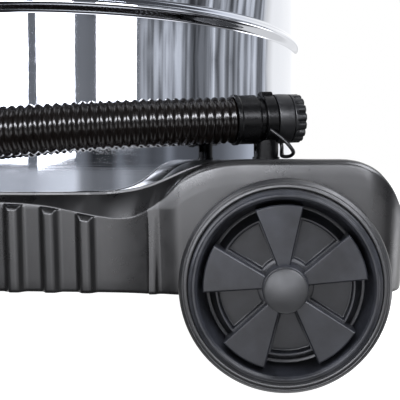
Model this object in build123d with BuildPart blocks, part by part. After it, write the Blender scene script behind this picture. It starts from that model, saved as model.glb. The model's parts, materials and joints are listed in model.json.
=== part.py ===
from build123d import *
import math
import os

os.makedirs("parts", exist_ok=True)

# ---------------------------------------------------------------- dimensions
XD = -16.5            # drum axis, X
XW = 191.5            # rear axle, X
Z_SKIRT = 67.0        # lower edge of the base
Z_WALL = 134.0        # top of the ribbed wall
Z_TRIM = 146.0        # rim of the drum tray
Z_DECK = 173.0        # deck over the rear wheels
Z_TRAY = 112.0        # tray floor, underside of the drum
FRONT = 275.0         # drum axis to the nose
HALF = 228.0          # half width beside the drum
FENDER = 241.0        # half width at the wheels
REAR = 291.5          # rear end, X
CORNER = 40.0         # rear corner radius in plan
WALL = 4.0            # base wall

R_DRUM = 220.0
T_DRUM = 1.5
Z_TOP = 636.0         # centre of the rolled top rim
BEAD = 6.0            # how far a bead stands out
BEADS = (299.0, 474.0)

R_WHEEL = 79.3
R_AXLE = 6.0

HOSE_R = 18.75
HOSE_RI = 15.75

CX, CY = -190.0, 115.0   # front casters
CR = 25.0                # caster wheel radius
TRAIL = 20.0


def plan(d):
    """Edges of the base plan, inset by d."""
    ry, rx = HALF - d, FRONT - d
    side = [(48.5, 232.0 - d), (69.5, 236.0 - d), (91.5, FENDER - d),
            (REAR - CORNER, FENDER - d)]
    with BuildLine() as line:
        n = 16
        pts = [(XD - rx * math.sin(math.pi * k / (2 * n)),
                -ry * math.cos(math.pi * k / (2 * n))) for k in range(n + 1)]
        low = Spline(pts, tangents=((-1, 0), (0, 1)))
        up = Spline([(x, -y) for x, y in reversed(pts)],
                    tangents=((0, 1), (1, 0)))
        Polyline((XD, ry), *side)
        RadiusArc(side[-1], (REAR - d, FENDER - CORNER), CORNER - d)
        Line((REAR - d, FENDER - CORNER), (REAR - d, -(FENDER - CORNER)))
        RadiusArc((REAR - d, -(FENDER - CORNER)), (side[-1][0], -side[-1][1]),
                  CORNER - d)
        Polyline(*[(x, -y) for x, y in reversed(side)], (XD, -ry))
    return line.edges()


def rib_spots():
    """(x, y, nx, ny) of the ribs along the +Y side wall, front to back."""
    path = [(69.5, 236.0), (48.5, 232.0), (XD, HALF)]
    for k in range(1, 91):
        a = math.radians(k)
        path.append((XD - FRONT * math.sin(a), HALF * math.cos(a)))
    want, out, run = 0.0, [], 0.0
    start = 69.5 - 34.5
    for (x0, y0), (x1, y1) in zip(path, path[1:]):
        seg = math.hypot(x1 - x0, y1 - y0)
        while run + seg >= start + want and want < 29.0 * 12:
            t = (start + want - run) / seg
            tx, ty = (x1 - x0) / seg, (y1 - y0) / seg
            out.append((x0 + t * (x1 - x0), y0 + t * (y1 - y0), ty, -tx))
            want += 29.0
        run += seg
    return out


def trapezoid(x, y, nx, ny, inset, high, half_top, half_foot):
    tx, ty = -ny, nx
    def at(s, h):
        return (x + tx * s + nx * (h - inset), y + ty * s + ny * (h - inset))
    Polygon(at(-half_foot, -1.0), at(half_foot, -1.0), at(half_foot, 0.0),
            at(half_top, high), at(-half_top, high), at(-half_foot, 0.0),
            align=None)


PLAN = {d: plan(d) for d in (0.0, 3.4, 4.5, 5.0, 6.2, 8.0, 9.0, 9.2)}

# ---------------------------------------------------------------------- base
FENDER_TOP = [(69.5, 127.0), (88.5, 136.5), (97.0, 142.5), (112.0, 157.5),
              (130.5, 167.0), (150.0, 171.8), (166.0, Z_DECK)]
FENDER_END = [(236.0, Z_DECK), (255.0, 169.0), (272.0, 156.0), (283.0, 137.0),
              (REAR, 112.0)]
DECK_TOP = [(58.0, 141.0), (72.0, 146.2), (84.5, 151.0), (97.5, 157.6),
            (113.5, 164.6), (131.0, 170.2), (150.0, 172.6), (166.0, Z_DECK)]

with BuildPart() as fender_block:
    with BuildSketch(Plane.XZ):
        with BuildLine():
            Spline(FENDER_TOP, tangents=((1, 0.3), (1, 0)))
            Line(FENDER_TOP[-1], FENDER_END[0])
            Spline(FENDER_END, tangents=((1, 0), (0.25, -1)))
            Polyline(FENDER_END[-1], (REAR, 100.0), (69.5, 100.0), FENDER_TOP[0])
        make_face()
    extrude(amount=FENDER, both=True)
    with BuildSketch(Plane.XY.offset(90.0)):
        make_face(PLAN[0.0])
    extrude(amount=100.0, mode=Mode.INTERSECT)

with BuildPart() as deck_block:
    with BuildSketch(Plane.XZ):
        with BuildLine():
            Spline(DECK_TOP)
            Line(DECK_TOP[-1], (230.0, Z_DECK))
            Polyline((230.0, Z_DECK), (230.0, 120.0), (58.0, 120.0), DECK_TOP[0])
        make_face()
    extrude(amount=FENDER, both=True)
    with BuildSketch(Plane.XY.offset(90.0)):
        make_face(PLAN[9.0])
    extrude(amount=100.0, mode=Mode.INTERSECT)

with BuildPart() as rear_hollow:
    with BuildSketch(Plane.XZ):
        with BuildLine():
            Polyline((84.0, 107.0), (84.0, 128.0), (100.0, 137.0), (116.0, 153.0),
                     (133.0, 162.0), (152.0, 167.0), (168.0, 169.0),
                     (236.0, 169.0), (252.0, 165.0), (268.0, 152.5),
                     (278.0, 135.0), (285.0, 107.0), (84.0, 107.0))
        make_face()
    extrude(amount=FENDER, both=True)
    with BuildSketch(Plane.XY.offset(90.0)):
        make_face(PLAN[4.5])
    extrude(amount=100.0, mode=Mode.INTERSECT)
    with Locations((XD, 0, 60.0)):
        Cylinder(225.5, 150.0, align=(Align.CENTER, Align.CENTER, Align.MIN),
                 mode=Mode.SUBTRACT)

with BuildPart() as front_hollow:
    with BuildSketch(Plane.XY.offset(107.0)):
        make_face(PLAN[8.0])
    extrude(amount=34.0)
    with Locations((XD, 0, 60.0)):
        Cylinder(225.5, 150.0, align=(Align.CENTER, Align.CENTER, Align.MIN),
                 mode=Mode.SUBTRACT)
    with Locations((150.0, 0, 100.0)):
        Box(333.0, 600.0, 120.0, mode=Mode.SUBTRACT)

with BuildPart() as low_hollow:
    with BuildSketch(Plane.XY.offset(Z_SKIRT - 1.0)):
        make_face(PLAN[9.2])
    with BuildSketch(Plane.XY.offset(Z_TRAY - WALL)):
        make_face(PLAN[6.2])
    loft()

with BuildPart() as base:
    with BuildSketch(Plane.XY.offset(Z_SKIRT)):
        make_face(PLAN[5.0])
    with BuildSketch(Plane.XY.offset(Z_WALL)):
        make_face(PLAN[0.0])
    loft()
    with BuildSketch(Plane.XY.offset(Z_WALL)):
        make_face(PLAN[0.0])
    with BuildSketch(Plane.XY.offset(Z_TRIM)):
        make_face(PLAN[3.4])
    loft()
    add(fender_block.part)
    add(deck_block.part)
    for x, y, nx, ny in rib_spots():
        for m in (1, -1):
            with BuildSketch(Plane.XY.offset(Z_SKIRT)):
                trapezoid(x, m * y, nx, m * ny, 5.0, 5.0, 3.5, 7.8)
            with BuildSketch(Plane.XY.offset(126.0)):
                trapezoid(x, m * y, nx, m * ny, 0.6, 5.0, 3.5, 7.8)
            loft(ruled=True)
            with BuildSketch(Plane.XY.offset(126.0)):
                trapezoid(x, m * y, nx, m * ny, 0.6, 5.0, 3.5, 7.8)
            with BuildSketch(Plane.XY.offset(133.0)):
                trapezoid(x, m * y, nx, m * ny, 0.2, 0.3, 3.5, 7.8)
            loft(ruled=True)
    add(low_hollow.part, mode=Mode.SUBTRACT)
    add(rear_hollow.part, mode=Mode.SUBTRACT)
    add(front_hollow.part, mode=Mode.SUBTRACT)
    with Locations((XD, 0, Z_TRAY)):
        Cylinder(R_DRUM + 0.6, 100.0,
                 align=(Align.CENTER, Align.CENTER, Align.MIN), mode=Mode.SUBTRACT)
    # axle bosses
    for m in (1, -1):
        with Locations(Location((XW, m * 227.0, R_WHEEL), (90, 0, 0))):
            Cylinder(17.0, 28.0)
        with Locations(Location((XW, m * 227.0, R_WHEEL), (90, 0, 0))):
            Cylinder(R_AXLE, 40.0, mode=Mode.SUBTRACT)
        # caster sockets
        with Locations((CX, m * CY, 68.0)):
            Cylinder(14.0, 41.0, align=(Align.CENTER, Align.CENTER, Align.MIN))
            Cylinder(6.06, 36.0, align=(Align.CENTER, Align.CENTER, Align.MIN),
                     mode=Mode.SUBTRACT)
    with Locations((XD, 0, 100.0)):
        with PolarLocations(150.0, 4, start_angle=45):
            Cylinder(4.2, 40.0, mode=Mode.SUBTRACT)
base.part.label = "base"
export_step(base.part, "parts/base.step")
print("base", base.part.volume / 1000, len(base.part.solids()), base.part.bounding_box())

# ---------------------------------------------------------------------- drum
DRUM_AXIS = Axis((XD, 0, 0), (0, 0, 1))


def polar(phi, r, z=0.0):
    """Point round the drum; phi from the -Y side towards the front."""
    a = math.radians(phi)
    return Vector(XD - r * math.sin(a), -r * math.cos(a), z)


# hose route, start at the spigot, end in the cuff
ROUTE = [(-260.7, -4.2, 174.0), (-244.2, -97.8, 177.5), (-194.2, -180.9, 182.5),
         (-113.8, -235.1, 188.0), (-20.0, -250.0, 194.0), (70.0, -229.0, 201.5),
         (155.0, -197.0, 206.0)]


def route_radii(pts):
    out = []
    for a, b, c in zip(pts, pts[1:], pts[2:]):
        u, v = Vector(*b) - Vector(*a), Vector(*c) - Vector(*b)
        turn = math.radians(u.get_angle(v))
        out.append(0.45 * min(u.length, v.length) / math.tan(turn / 2))
    return out


RADII = route_radii(ROUTE)
print("hose radii", [round(r, 1) for r in RADII])
S0 = Vector(*ROUTE[0])
U0 = (Vector(*ROUTE[1]) - S0).normalized()
E0 = Vector(*ROUTE[-1])
U1 = (E0 - Vector(*ROUTE[-2])).normalized()
ELBOW = S0 - U0 * 22.0
NRAD = Vector(ELBOW.X - XD, ELBOW.Y, 0).normalized()
R_ELBOW = math.hypot(ELBOW.X - XD, ELBOW.Y)


def radial(r, z=ELBOW.Z):
    return Plane(origin=(XD + NRAD.X * r, NRAD.Y * r, z), z_dir=NRAD)


NEAR = Vector(U1.Y, -U1.X, 0).normalized()
END = Plane(origin=E0, x_dir=NEAR, z_dir=U1)      # local +y points down

INLET_Z = 560.0
INLET = Plane(origin=(XD, 0, INLET_Z), x_dir=(0, 1, 0), z_dir=(-1, 0, 0))

with BuildPart() as drum_shell:
    with BuildSketch(Plane.XZ):
        ro, ri = XD + R_DRUM, XD + R_DRUM - T_DRUM
        with BuildLine():
            Line((XD, Z_TRAY), (ro - 10, Z_TRAY))
            RadiusArc((ro - 10, Z_TRAY), (ro, Z_TRAY + 10), -10)
            low = (ro, Z_TRAY + 10)
            for zb in BEADS:
                Line(low, (ro, zb - 8))
                ThreePointArc((ro, zb - 8), (ro + BEAD, zb), (ro, zb + 8))
                low = (ro, zb + 8)
            Polyline(low, (ro, Z_TOP), (ri, Z_TOP))
            low = (ri, Z_TOP)
            for zb in reversed(BEADS):
                Line(low, (ri, zb + 7.4))
                ThreePointArc((ri, zb + 7.4), (ri + BEAD, zb), (ri, zb - 7.4))
                low = (ri, zb - 7.4)
            Line(low, (ri, Z_TRAY + 10))
            RadiusArc((ri, Z_TRAY + 10), (ro - 10, Z_TRAY + T_DRUM), 8.5)
            Polyline((ro - 10, Z_TRAY + T_DRUM), (XD, Z_TRAY + T_DRUM), (XD, Z_TRAY))
        make_face()
        with Locations((XD + R_DRUM + 1.5, Z_TOP)):
            Circle(4.5)
    revolve(axis=DRUM_AXIS)
    with Locations(radial(R_DRUM)):
        Cylinder(16.8, 60.0, mode=Mode.SUBTRACT)
    with Locations(INLET.offset(R_DRUM)):
        Cylinder(25.7, 60.0, mode=Mode.SUBTRACT)
        with PolarLocations(32.0, 4, start_angle=45):
            Cylinder(2.2, 60.0, mode=Mode.SUBTRACT)
    with Locations((XD, 0, Z_TRAY)):
        with PolarLocations(150.0, 4, start_angle=45):
            Cylinder(4.2, 10.0, mode=Mode.SUBTRACT)

Z_JOIN = 510.0                         # the shell is kept in two lengths
with BuildPart() as drum:
    add(drum_shell.part)
    split(bisect_by=Plane.XY.offset(Z_JOIN), keep=Keep.BOTTOM)
drum.part.label = "drum"
export_step(drum.part, "parts/drum.step")

with BuildPart() as drum_top:
    add(drum_shell.part)
    split(bisect_by=Plane.XY.offset(Z_JOIN), keep=Keep.TOP)
drum_top.part.label = "drum_top"
export_step(drum_top.part, "parts/drum_top.step")

with BuildPart() as drum_bolts:
    with Locations((XD, 0, Z_TRAY + T_DRUM)):
        with PolarLocations(150.0, 4, start_angle=45):
            Cylinder(9.0, 2.0, align=(Align.CENTER, Align.CENTER, Align.MIN))
    with BuildSketch(Plane.XY.offset(Z_TRAY + T_DRUM + 2.0)):
        with Locations((XD, 0)):
            with PolarLocations(150.0, 4, start_angle=45):
                RegularPolygon(7.0, 6)
    extrude(amount=5.0)
    with Locations((XD, 0, Z_TRAY + T_DRUM)):
        with PolarLocations(150.0, 4, start_angle=45):
            Cylinder(4.0, 22.0, align=(Align.CENTER, Align.CENTER, Align.MAX))
    with BuildSketch(Plane.XY.offset(Z_TRAY - WALL - 6.0)):
        with Locations((XD, 0)):
            with PolarLocations(150.0, 4, start_angle=45):
                RegularPolygon(7.5, 6)
    extrude(amount=6.0)
drum_bolts.part.label = "drum_bolts"
export_step(drum_bolts.part, "parts/drum_bolts.step")

# ---------------------------------------------------------------- drain side
with BuildPart() as drain_spigot:
    with BuildSketch(radial(206.0)):
        Circle(16.5)
    extrude(amount=R_ELBOW - 206.0)
    with BuildSketch(radial(222.2)):
        Circle(21.0)
    extrude(amount=2.6)
    with Locations(Location(tuple(ELBOW))):
        Sphere(19.0)
    with BuildSketch(Plane(origin=ELBOW, z_dir=U0)):
        Circle(19.0)
    extrude(amount=22.0)
    with BuildSketch(Plane(origin=S0, z_dir=U0)):
        Circle(HOSE_RI - 0.15)
    extrude(amount=24.0)
    with BuildSketch(radial(205.0)):
        Circle(13.0)
    extrude(amount=R_ELBOW - 205.0, mode=Mode.SUBTRACT)
    with Locations(Location(tuple(ELBOW))):
        Sphere(13.0, mode=Mode.SUBTRACT)
    with BuildSketch(Plane(origin=ELBOW, z_dir=U0)):
        Circle(13.0)
    extrude(amount=60.0, mode=Mode.SUBTRACT)
drain_spigot.part.label = "drain_spigot"
export_step(drain_spigot.part, "parts/drain_spigot.step")

with BuildPart() as drain_seal:
    with BuildSketch(radial(214.0)):
        Circle(20.8)
        Circle(16.5, mode=Mode.SUBTRACT)
    extrude(amount=8.2)
    with Locations((XD, 0, 100.0)):
        Cylinder(R_DRUM, 150.0, align=(Align.CENTER, Align.CENTER, Align.MIN),
                 mode=Mode.SUBTRACT)
drain_seal.part.label = "drain_seal"
export_step(drain_seal.part, "parts/drain_seal.step")

with BuildPart() as drain_nut:
    with BuildSketch(radial(208.0)):
        RegularPolygon(25.0, 6)
        Circle(16.5, mode=Mode.SUBTRACT)
    extrude(amount=8.8)
drain_nut.part.label = "drain_nut"
export_step(drain_nut.part, "parts/drain_nut.step")

with BuildPart() as drain_hose:
    with BuildLine() as hose_path:
        FilletPolyline(*ROUTE, radius=RADII)
    with BuildSketch(Plane(origin=S0, z_dir=U0)):
        Circle(HOSE_R)
        Circle(HOSE_RI, mode=Mode.SUBTRACT)
    sweep()
hose_len = sum(e.length for e in hose_path.edges())
print("hose length", hose_len, "volume ratio", drain_hose.part.volume
      / (math.pi * (HOSE_R ** 2 - HOSE_RI ** 2) * hose_len))
drain_hose.part.label = "drain_hose"
export_step(drain_hose.part, "parts/drain_hose.step")

with BuildPart() as hose_cuff:
    with BuildSketch(END.offset(-8.0)):
        Circle(20.0)
        Circle(HOSE_R, mode=Mode.SUBTRACT)
    extrude(amount=8.0)
    with BuildSketch(END):
        Circle(20.0)
        Circle(13.5, mode=Mode.SUBTRACT)
    extrude(amount=12.0)
    with BuildSketch(END.offset(12.0)):
        Circle(17.2)
        Circle(13.5, mode=Mode.SUBTRACT)
    extrude(amount=15.0)
    with BuildSketch(END.offset(27.0)):
        Circle(16.8)
        Circle(13.5, mode=Mode.SUBTRACT)
    extrude(amount=19.0)
hose_cuff.part.label = "hose_cuff"
export_step(hose_cuff.part, "parts/hose_cuff.step")

with BuildPart() as cap_collar:
    with BuildSketch(END.offset(17.0)):
        Circle(20.0)
        with Locations((0, -19.5)):
            RectangleRounded(11.0, 7.0, 2.0)
        with Locations((0, 20.5)):
            RectangleRounded(7.0, 10.0, 2.5)
        Circle(17.2, mode=Mode.SUBTRACT)
    extrude(amount=10.0)
cap_collar.part.label = "cap_collar"
export_step(cap_collar.part, "parts/cap_collar.step")

with BuildPart() as tether_ring:
    with BuildSketch(END.offset(27.4)):
        Circle(21.2)
        Circle(19.3, mode=Mode.SUBTRACT)
    extrude(amount=13.6)
tether_ring.part.label = "tether_ring"
export_step(tether_ring.part, "parts/tether_ring.step")

with BuildPart() as drain_cap:
    with BuildSketch(END.offset(28.0)):
        Circle(19.0)
        Circle(17.2, mode=Mode.SUBTRACT)
    extrude(amount=13.3)
    with BuildSketch(END.offset(41.3)):
        Circle(20.8)
    extrude(amount=11.0)
    with BuildSketch(END.offset(41.0)):
        Circle(17.2)
    extrude(amount=8.3, mode=Mode.SUBTRACT)
    with BuildSketch(END.offset(44.0)):
        with PolarLocations(21.4, 16):
            Circle(1.9)
    extrude(amount=10.0, mode=Mode.SUBTRACT)
drain_cap.part.label = "drain_cap"
export_step(drain_cap.part, "parts/drain_cap.step")

with BuildPart() as cap_seal:
    with BuildSketch(END.offset(46.4)):
        Circle(17.2)
    extrude(amount=2.9)
cap_seal.part.label = "cap_seal"
export_step(cap_seal.part, "parts/cap_seal.step")

STRAP = [(181.4, -206.5, 196.2), (189.5, -207.5, 190.0), (195.6, -207.0, 183.6),
         (198.5, -204.5, 178.6), (195.6, -199.5, 175.6), (190.0, -193.5, 175.6),
         (189.0, -187.6, 178.6), (189.0, -184.8, 183.8)]
with BuildPart() as cap_strap:
    with BuildLine() as strap_path:
        Spline(STRAP)
    with BuildSketch(Plane(origin=STRAP[0], z_dir=strap_path.edges()[0] % 0)):
        Circle(1.7)
    sweep()
cap_strap.part.label = "cap_strap"
export_step(cap_strap.part, "parts/cap_strap.step")

POST = E0 + U1 * 22.0
with BuildPart() as hose_post:
    with Locations((POST.X, POST.Y, Z_DECK)):
        Cylinder(10.5, 18.0, align=(Align.CENTER, Align.CENTER, Align.MIN))
        Cylinder(11.6, 2.0, align=(Align.CENTER, Align.CENTER, Align.MIN))
    with BuildSketch(END.offset(-10.0)):
        Circle(20.4)
    extrude(amount=50.0, mode=Mode.SUBTRACT)
    with BuildSketch(END.offset(26.6)):
        Circle(21.7)
    extrude(amount=20.0, mode=Mode.SUBTRACT)
    with BuildSketch(END.offset(5.0)):
        with Locations((0, 21.0)):
            Rectangle(7.8, 10.4)
    extrude(amount=40.0, mode=Mode.SUBTRACT)
hose_post.part.label = "hose_post"
export_step(hose_post.part, "parts/hose_post.step")

# ---------------------------------------------------------------- rear wheels
AXLE_LINE = Axis((XW, 0, R_WHEEL), (0, 1, 0))
WHEEL_PLANE = Plane(origin=(XW, 0, R_WHEEL), x_dir=(1, 0, 0), z_dir=(0, 0, 1))

with BuildPart() as rear_axle:
    with Locations(Location((XW, 0, R_WHEEL), (90, 0, 0))):
        Cylinder(R_AXLE, 562.0)
    chamfer(rear_axle.edges().filter_by(GeomType.CIRCLE), 0.8)
rear_axle.part.label = "rear_axle"
export_step(rear_axle.part, "parts/rear_axle.step")

with BuildPart() as axle_washers:
    for m in (1, -1):
        with Locations(Location((XW, m * 242.6, R_WHEEL), (90, 0, 0))):
            Cylinder(14.0, 2.6)
            Cylinder(R_AXLE, 2.6, mode=Mode.SUBTRACT)
axle_washers.part.label = "axle_washers"
export_step(axle_washers.part, "parts/axle_washers.step")

with BuildPart() as axle_clips:
    for m in (1, -1):
        with Locations(Location((XW, m * 279.4, R_WHEEL), (90, 0, 0))):
            Cylinder(10.0, 1.4)
            Cylinder(R_AXLE, 1.4, mode=Mode.SUBTRACT)
axle_clips.part.label = "axle_clips"
export_step(axle_clips.part, "parts/axle_clips.step")

SLOTS = [-4.5 + 72.0 * k for k in range(5)]       # blades, clockwise from up


def sector(r0, r1, mid, half, m):
    """Ring sector outline in the wheel face, clockwise angle from up."""
    pts = []
    for k in range(9):
        a = math.radians(mid - half + 2 * half * k / 8)
        pts.append((r1 * math.sin(a), r1 * math.cos(a)))
    for k in range(9):
        a = math.radians(mid + half - 2 * half * k / 8)
        pts.append((r0 * math.sin(a), r0 * math.cos(a)))
    return [(x, y) for x, y in pts]


for m, tag in ((-1, "left"), (1, "right")):
    with BuildPart() as tyre:
        with BuildSketch(WHEEL_PLANE):
            Polygon((68, m * 246), (73, m * 244.8), (77.4, m * 246.6),
                    (79.3, m * 250.5), (79.3, m * 261), (78.0, m * 264.8),
                    (74.8, m * 267), (71.6, m * 267), (71.6, m * 262.3),
                    (68, m * 262.3), align=None)
        revolve(axis=AXLE_LINE)
    tyre.part.label = tag + "_tyre"
    export_step(tyre.part, "parts/" + tag + "_tyre.step")

    face = Plane(origin=(XW, m * 258.0, R_WHEEL), x_dir=(1, 0, 0),
                 z_dir=(0, m, 0))
    up = 1.0 if m < 0 else -1.0                   # local y against world Z
    with BuildPart() as rim:
        with BuildSketch(WHEEL_PLANE):
            Polygon((8, m * 244.4), (16, m * 244.4), (17, m * 254), (63, m * 254),
                    (64, m * 246), (68, m * 246), (68, m * 262.3),
                    (71.3, m * 262.6), (71.3, m * 270.4), (69.5, m * 272),
                    (66, m * 272), (64, m * 262), (51, m * 261.5), (49.5, m * 258),
                    (17, m * 258), (16, m * 278.4), (8, m * 278.4), align=None)
        revolve(axis=AXLE_LINE)
        with BuildSketch(face):
            for mid in SLOTS:
                Polygon(*[(x, up * y) for x, y in sector(12, 59.2, mid, 17, m)],
                        align=None)
            Circle(8.0, mode=Mode.SUBTRACT)
        extrude(amount=12.6)
    rim.part.label = tag + "_rim"
    export_step(rim.part, "parts/" + tag + "_rim.step")

    with BuildPart() as bush:
        with Locations(Location((XW, m * 261.4, R_WHEEL), (90, 0, 0))):
            Cylinder(8.0, 34.0)
            Cylinder(R_AXLE + 0.06, 34.0, mode=Mode.SUBTRACT)
    bush.part.label = tag + "_bush"
    export_step(bush.part, "parts/" + tag + "_bush.step")

    with BuildPart() as hub_cap:
        with BuildSketch(WHEEL_PLANE):
            Polygon((0, m * 283.6), (12.4, m * 283.0), (12.4, m * 278.4),
                    (15.9, m * 278.4), (15.9, m * 283.4), (14.9, m * 284.5),
                    (12.5, m * 285.5), (8.5, m * 286.4), (4.2, m * 286.9),
                    (0, m * 287.0), align=None)
        revolve(axis=AXLE_LINE)
    hub_cap.part.label = tag + "_hub_cap"
    export_step(hub_cap.part, "parts/" + tag + "_hub_cap.step")

    # ------------------------------------------------------------- casters
    with BuildPart() as fork:
        with Locations((CX, m * CY, 61.0)):
            Cylinder(17.0, 6.7, align=(Align.CENTER, Align.CENTER, Align.MIN))
            Cylinder(6.0, 39.0, align=(Align.CENTER, Align.CENTER, Align.MIN))
        with BuildSketch(Plane.XZ.offset(-m * CY)):
            with BuildLine():
                Polyline((CX - 15, 61.5), (CX + 15, 61.5), (CX + 29, 27),
                         (CX + 24, 16.5), (CX + 15, 17), (CX - 6, 47),
                         (CX - 15, 61.5))
            make_face()
        extrude(amount=13.6, both=True)
        with Locations((CX + 16, m * CY, 36.0)):
            Box(80.0, 20.6, 50.0, mode=Mode.SUBTRACT)
        with Locations(Location((CX + TRAIL, m * CY, CR), (90, 0, 0))):
            Cylinder(4.0, 60.0, mode=Mode.SUBTRACT)
    fork.part.label = tag + "_fork"
    export_step(fork.part, "parts/" + tag + "_fork.step")

    with BuildPart() as caster_pin:
        with Locations(Location((CX + TRAIL, m * CY, CR), (90, 0, 0))):
            Cylinder(4.0, 31.0)
        with Locations(Location((CX + TRAIL, m * (CY + 16.3), CR), (90, 0, 0)),
                       Location((CX + TRAIL, m * (CY - 16.3), CR), (90, 0, 0))):
            Cylinder(6.0, 3.0)
        with Locations(Location((CX + TRAIL, m * CY, CR), (90, 0, 0))):
            Cylinder(7.0, 27.8, mode=Mode.SUBTRACT)
            Cylinder(4.0, 31.0)
    caster_pin.part.label = tag + "_caster_pin"
    export_step(caster_pin.part, "parts/" + tag + "_caster_pin.step")

    with BuildPart() as caster_wheel:
        with BuildSketch(Plane(origin=(CX + TRAIL, m * CY, CR), x_dir=(1, 0, 0),
                               z_dir=(0, 0, 1))):
            Polygon((4.06, -9.6), (9, -9.6), (10, -6.5), (17, -6.5), (18.5, -9.2),
                    (22.5, -9.2), (25, -6.0), (25, 6.0), (22.5, 9.2), (18.5, 9.2),
                    (17, 6.5), (10, 6.5), (9, 9.6), (4.06, 9.6), align=None)
        revolve(axis=Axis((CX + TRAIL, m * CY, CR), (0, 1, 0)))
    caster_wheel.part.label = tag + "_caster_wheel"
    export_step(caster_wheel.part, "parts/" + tag + "_caster_wheel.step")

# --------------------------------------------------------------------- inlet
with BuildPart() as inlet_socket:
    with BuildSketch(INLET.offset(206.0)):
        Circle(40.0)
    extrude(amount=30.0)
    with Locations((XD, 0, INLET_Z)):
        Cylinder(R_DRUM + 2.2, 120.0, mode=Mode.SUBTRACT)
    with BuildSketch(INLET.offset(236.0)):
        Circle(26.5)
    extrude(amount=37.0)
    with BuildSketch(INLET.offset(268.0)):
        Circle(29.0)
    extrude(amount=6.0)
    with BuildSketch(INLET.offset(202.0)):
        Circle(25.4)
    extrude(amount=30.0)
    with BuildSketch(INLET.offset(200.0)):
        Circle(20.0)
    extrude(amount=80.0, mode=Mode.SUBTRACT)
    with Locations(INLET.offset(225.0)):
        with PolarLocations(32.0, 4, start_angle=45):
            Cylinder(2.2, 40.0, mode=Mode.SUBTRACT)
inlet_socket.part.label = "inlet_socket"
export_step(inlet_socket.part, "parts/inlet_socket.step")

with BuildPart() as inlet_gasket:
    with BuildSketch(INLET.offset(206.0)):
        Circle(39.0)
        Circle(25.7, mode=Mode.SUBTRACT)
        with PolarLocations(32.0, 4, start_angle=45):
            Circle(2.2, mode=Mode.SUBTRACT)
    extrude(amount=30.0)
    with Locations((XD, 0, INLET_Z)):
        Cylinder(R_DRUM, 120.0, mode=Mode.SUBTRACT)
        Cylinder(R_DRUM + 2.2, 120.0, mode=Mode.INTERSECT)
inlet_gasket.part.label = "inlet_gasket"
export_step(inlet_gasket.part, "parts/inlet_gasket.step")

with BuildPart() as inlet_screws:
    with BuildSketch(INLET.offset(236.0)):
        with PolarLocations(32.0, 4, start_angle=45):
            Circle(4.4)
    extrude(amount=2.8)
    with BuildSketch(INLET.offset(207.0)):
        with PolarLocations(32.0, 4, start_angle=45):
            Circle(2.0)
    extrude(amount=29.0)
    with BuildSketch(INLET.offset(208.5)):
        with PolarLocations(32.0, 4, start_angle=45):
            RegularPolygon(4.2, 6)
    extrude(amount=4.0)
inlet_screws.part.label = "inlet_screws"
export_step(inlet_screws.part, "parts/inlet_screws.step")

with BuildPart() as inlet_deflector:
    with BuildSketch(INLET.offset(202.0)):
        Circle(28.0)
        Circle(25.4, mode=Mode.SUBTRACT)
    extrude(amount=5.6)
    with BuildSketch(INLET.offset(166.0)):
        RectangleRounded(62.0, 62.0, 12.0)
    extrude(amount=2.5)
    with BuildSketch(INLET.offset(168.0)):
        with Locations((-26.8, 0), (26.8, 0)):
            Rectangle(2.4, 36.0)
    extrude(amount=36.0)
inlet_deflector.part.label = "inlet_deflector"
export_step(inlet_deflector.part, "parts/inlet_deflector.step")

# ---------------------------------------------------------------------- head
Z_PAN = 645.0
Z_SEAM = 700.0
Z_CROWN = 808.0
R_PAN = 231.0
PIN_Y, PIN_Z = 239.0, 690.0

with BuildPart() as head_gasket:
    with BuildSketch(Plane.XY.offset(640.8)):
        with Locations((XD, 0)):
            Circle(229.0)
            Circle(213.0, mode=Mode.SUBTRACT)
    extrude(amount=Z_PAN - 640.8)
head_gasket.part.label = "head_gasket"
export_step(head_gasket.part, "parts/head_gasket.step")

with BuildPart() as head_pan:
    with BuildSketch(Plane.XZ):
        Polygon((XD + 40, Z_PAN), (XD + R_PAN, Z_PAN), (XD + R_PAN, Z_SEAM),
                (XD + R_PAN - 4, Z_SEAM), (XD + R_PAN - 4, Z_PAN + 5),
                (XD + 40, Z_PAN + 5), align=None)
    revolve(axis=DRUM_AXIS)
    for m in (1, -1):
        for dx in (-15.0, 15.0):
            with Locations((XD + dx, m * 237.5, PIN_Z)):
                Box(4.0, 17.0, 16.0)
        with Locations(Location((XD, m * PIN_Y, PIN_Z), (0, 90, 0))):
            Cylinder(2.5, 60.0, mode=Mode.SUBTRACT)
head_pan.part.label = "head_pan"
export_step(head_pan.part, "parts/head_pan.step")

SWX = XD - 108.0                       # switch position
with BuildPart() as cover_shell:
    with BuildSketch(Plane.XZ):
        with BuildLine():
            Line((XD + R_PAN, Z_SEAM), (XD + R_PAN, Z_SEAM + 22))
            ThreePointArc((XD + R_PAN, Z_SEAM + 22), (XD + 208.0, 779.0),
                          (XD + 168.0, Z_CROWN))
            Polyline((XD + 168.0, Z_CROWN), (XD, Z_CROWN), (XD, Z_CROWN - 4),
                     (XD + 166.5, Z_CROWN - 4))
            ThreePointArc((XD + 166.5, Z_CROWN - 4), (XD + 204.8, 776.0),
                          (XD + R_PAN - 4, Z_SEAM + 22))
            Polyline((XD + R_PAN - 4, Z_SEAM + 22), (XD + R_PAN - 4, Z_SEAM),
                     (XD + R_PAN, Z_SEAM))
        make_face()
    revolve(axis=DRUM_AXIS)
    # outlet slots round the rear
    for k in range(13):
        with Locations(Location((XD, 0, 742.0), (0, 0, -54 + 9 * k))):
            with Locations((215.0, 0, 0)):
                Box(70.0, 7.0, 44.0, mode=Mode.SUBTRACT)
    with Locations((SWX, 0, Z_CROWN)):
        Box(24.0, 36.0, 20.0, mode=Mode.SUBTRACT)
    with Locations(Location((XD + R_PAN, 0, 711.0), (0, 90, 0))):
        Cylinder(8.0, 30.0, mode=Mode.SUBTRACT)

with BuildPart() as head_cover:
    add(cover_shell.part)
    split(bisect_by=Plane.XY.offset(Z_SEAM + 20), keep=Keep.TOP)
head_cover.part.label = "head_cover"
export_step(head_cover.part, "parts/head_cover.step")

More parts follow.
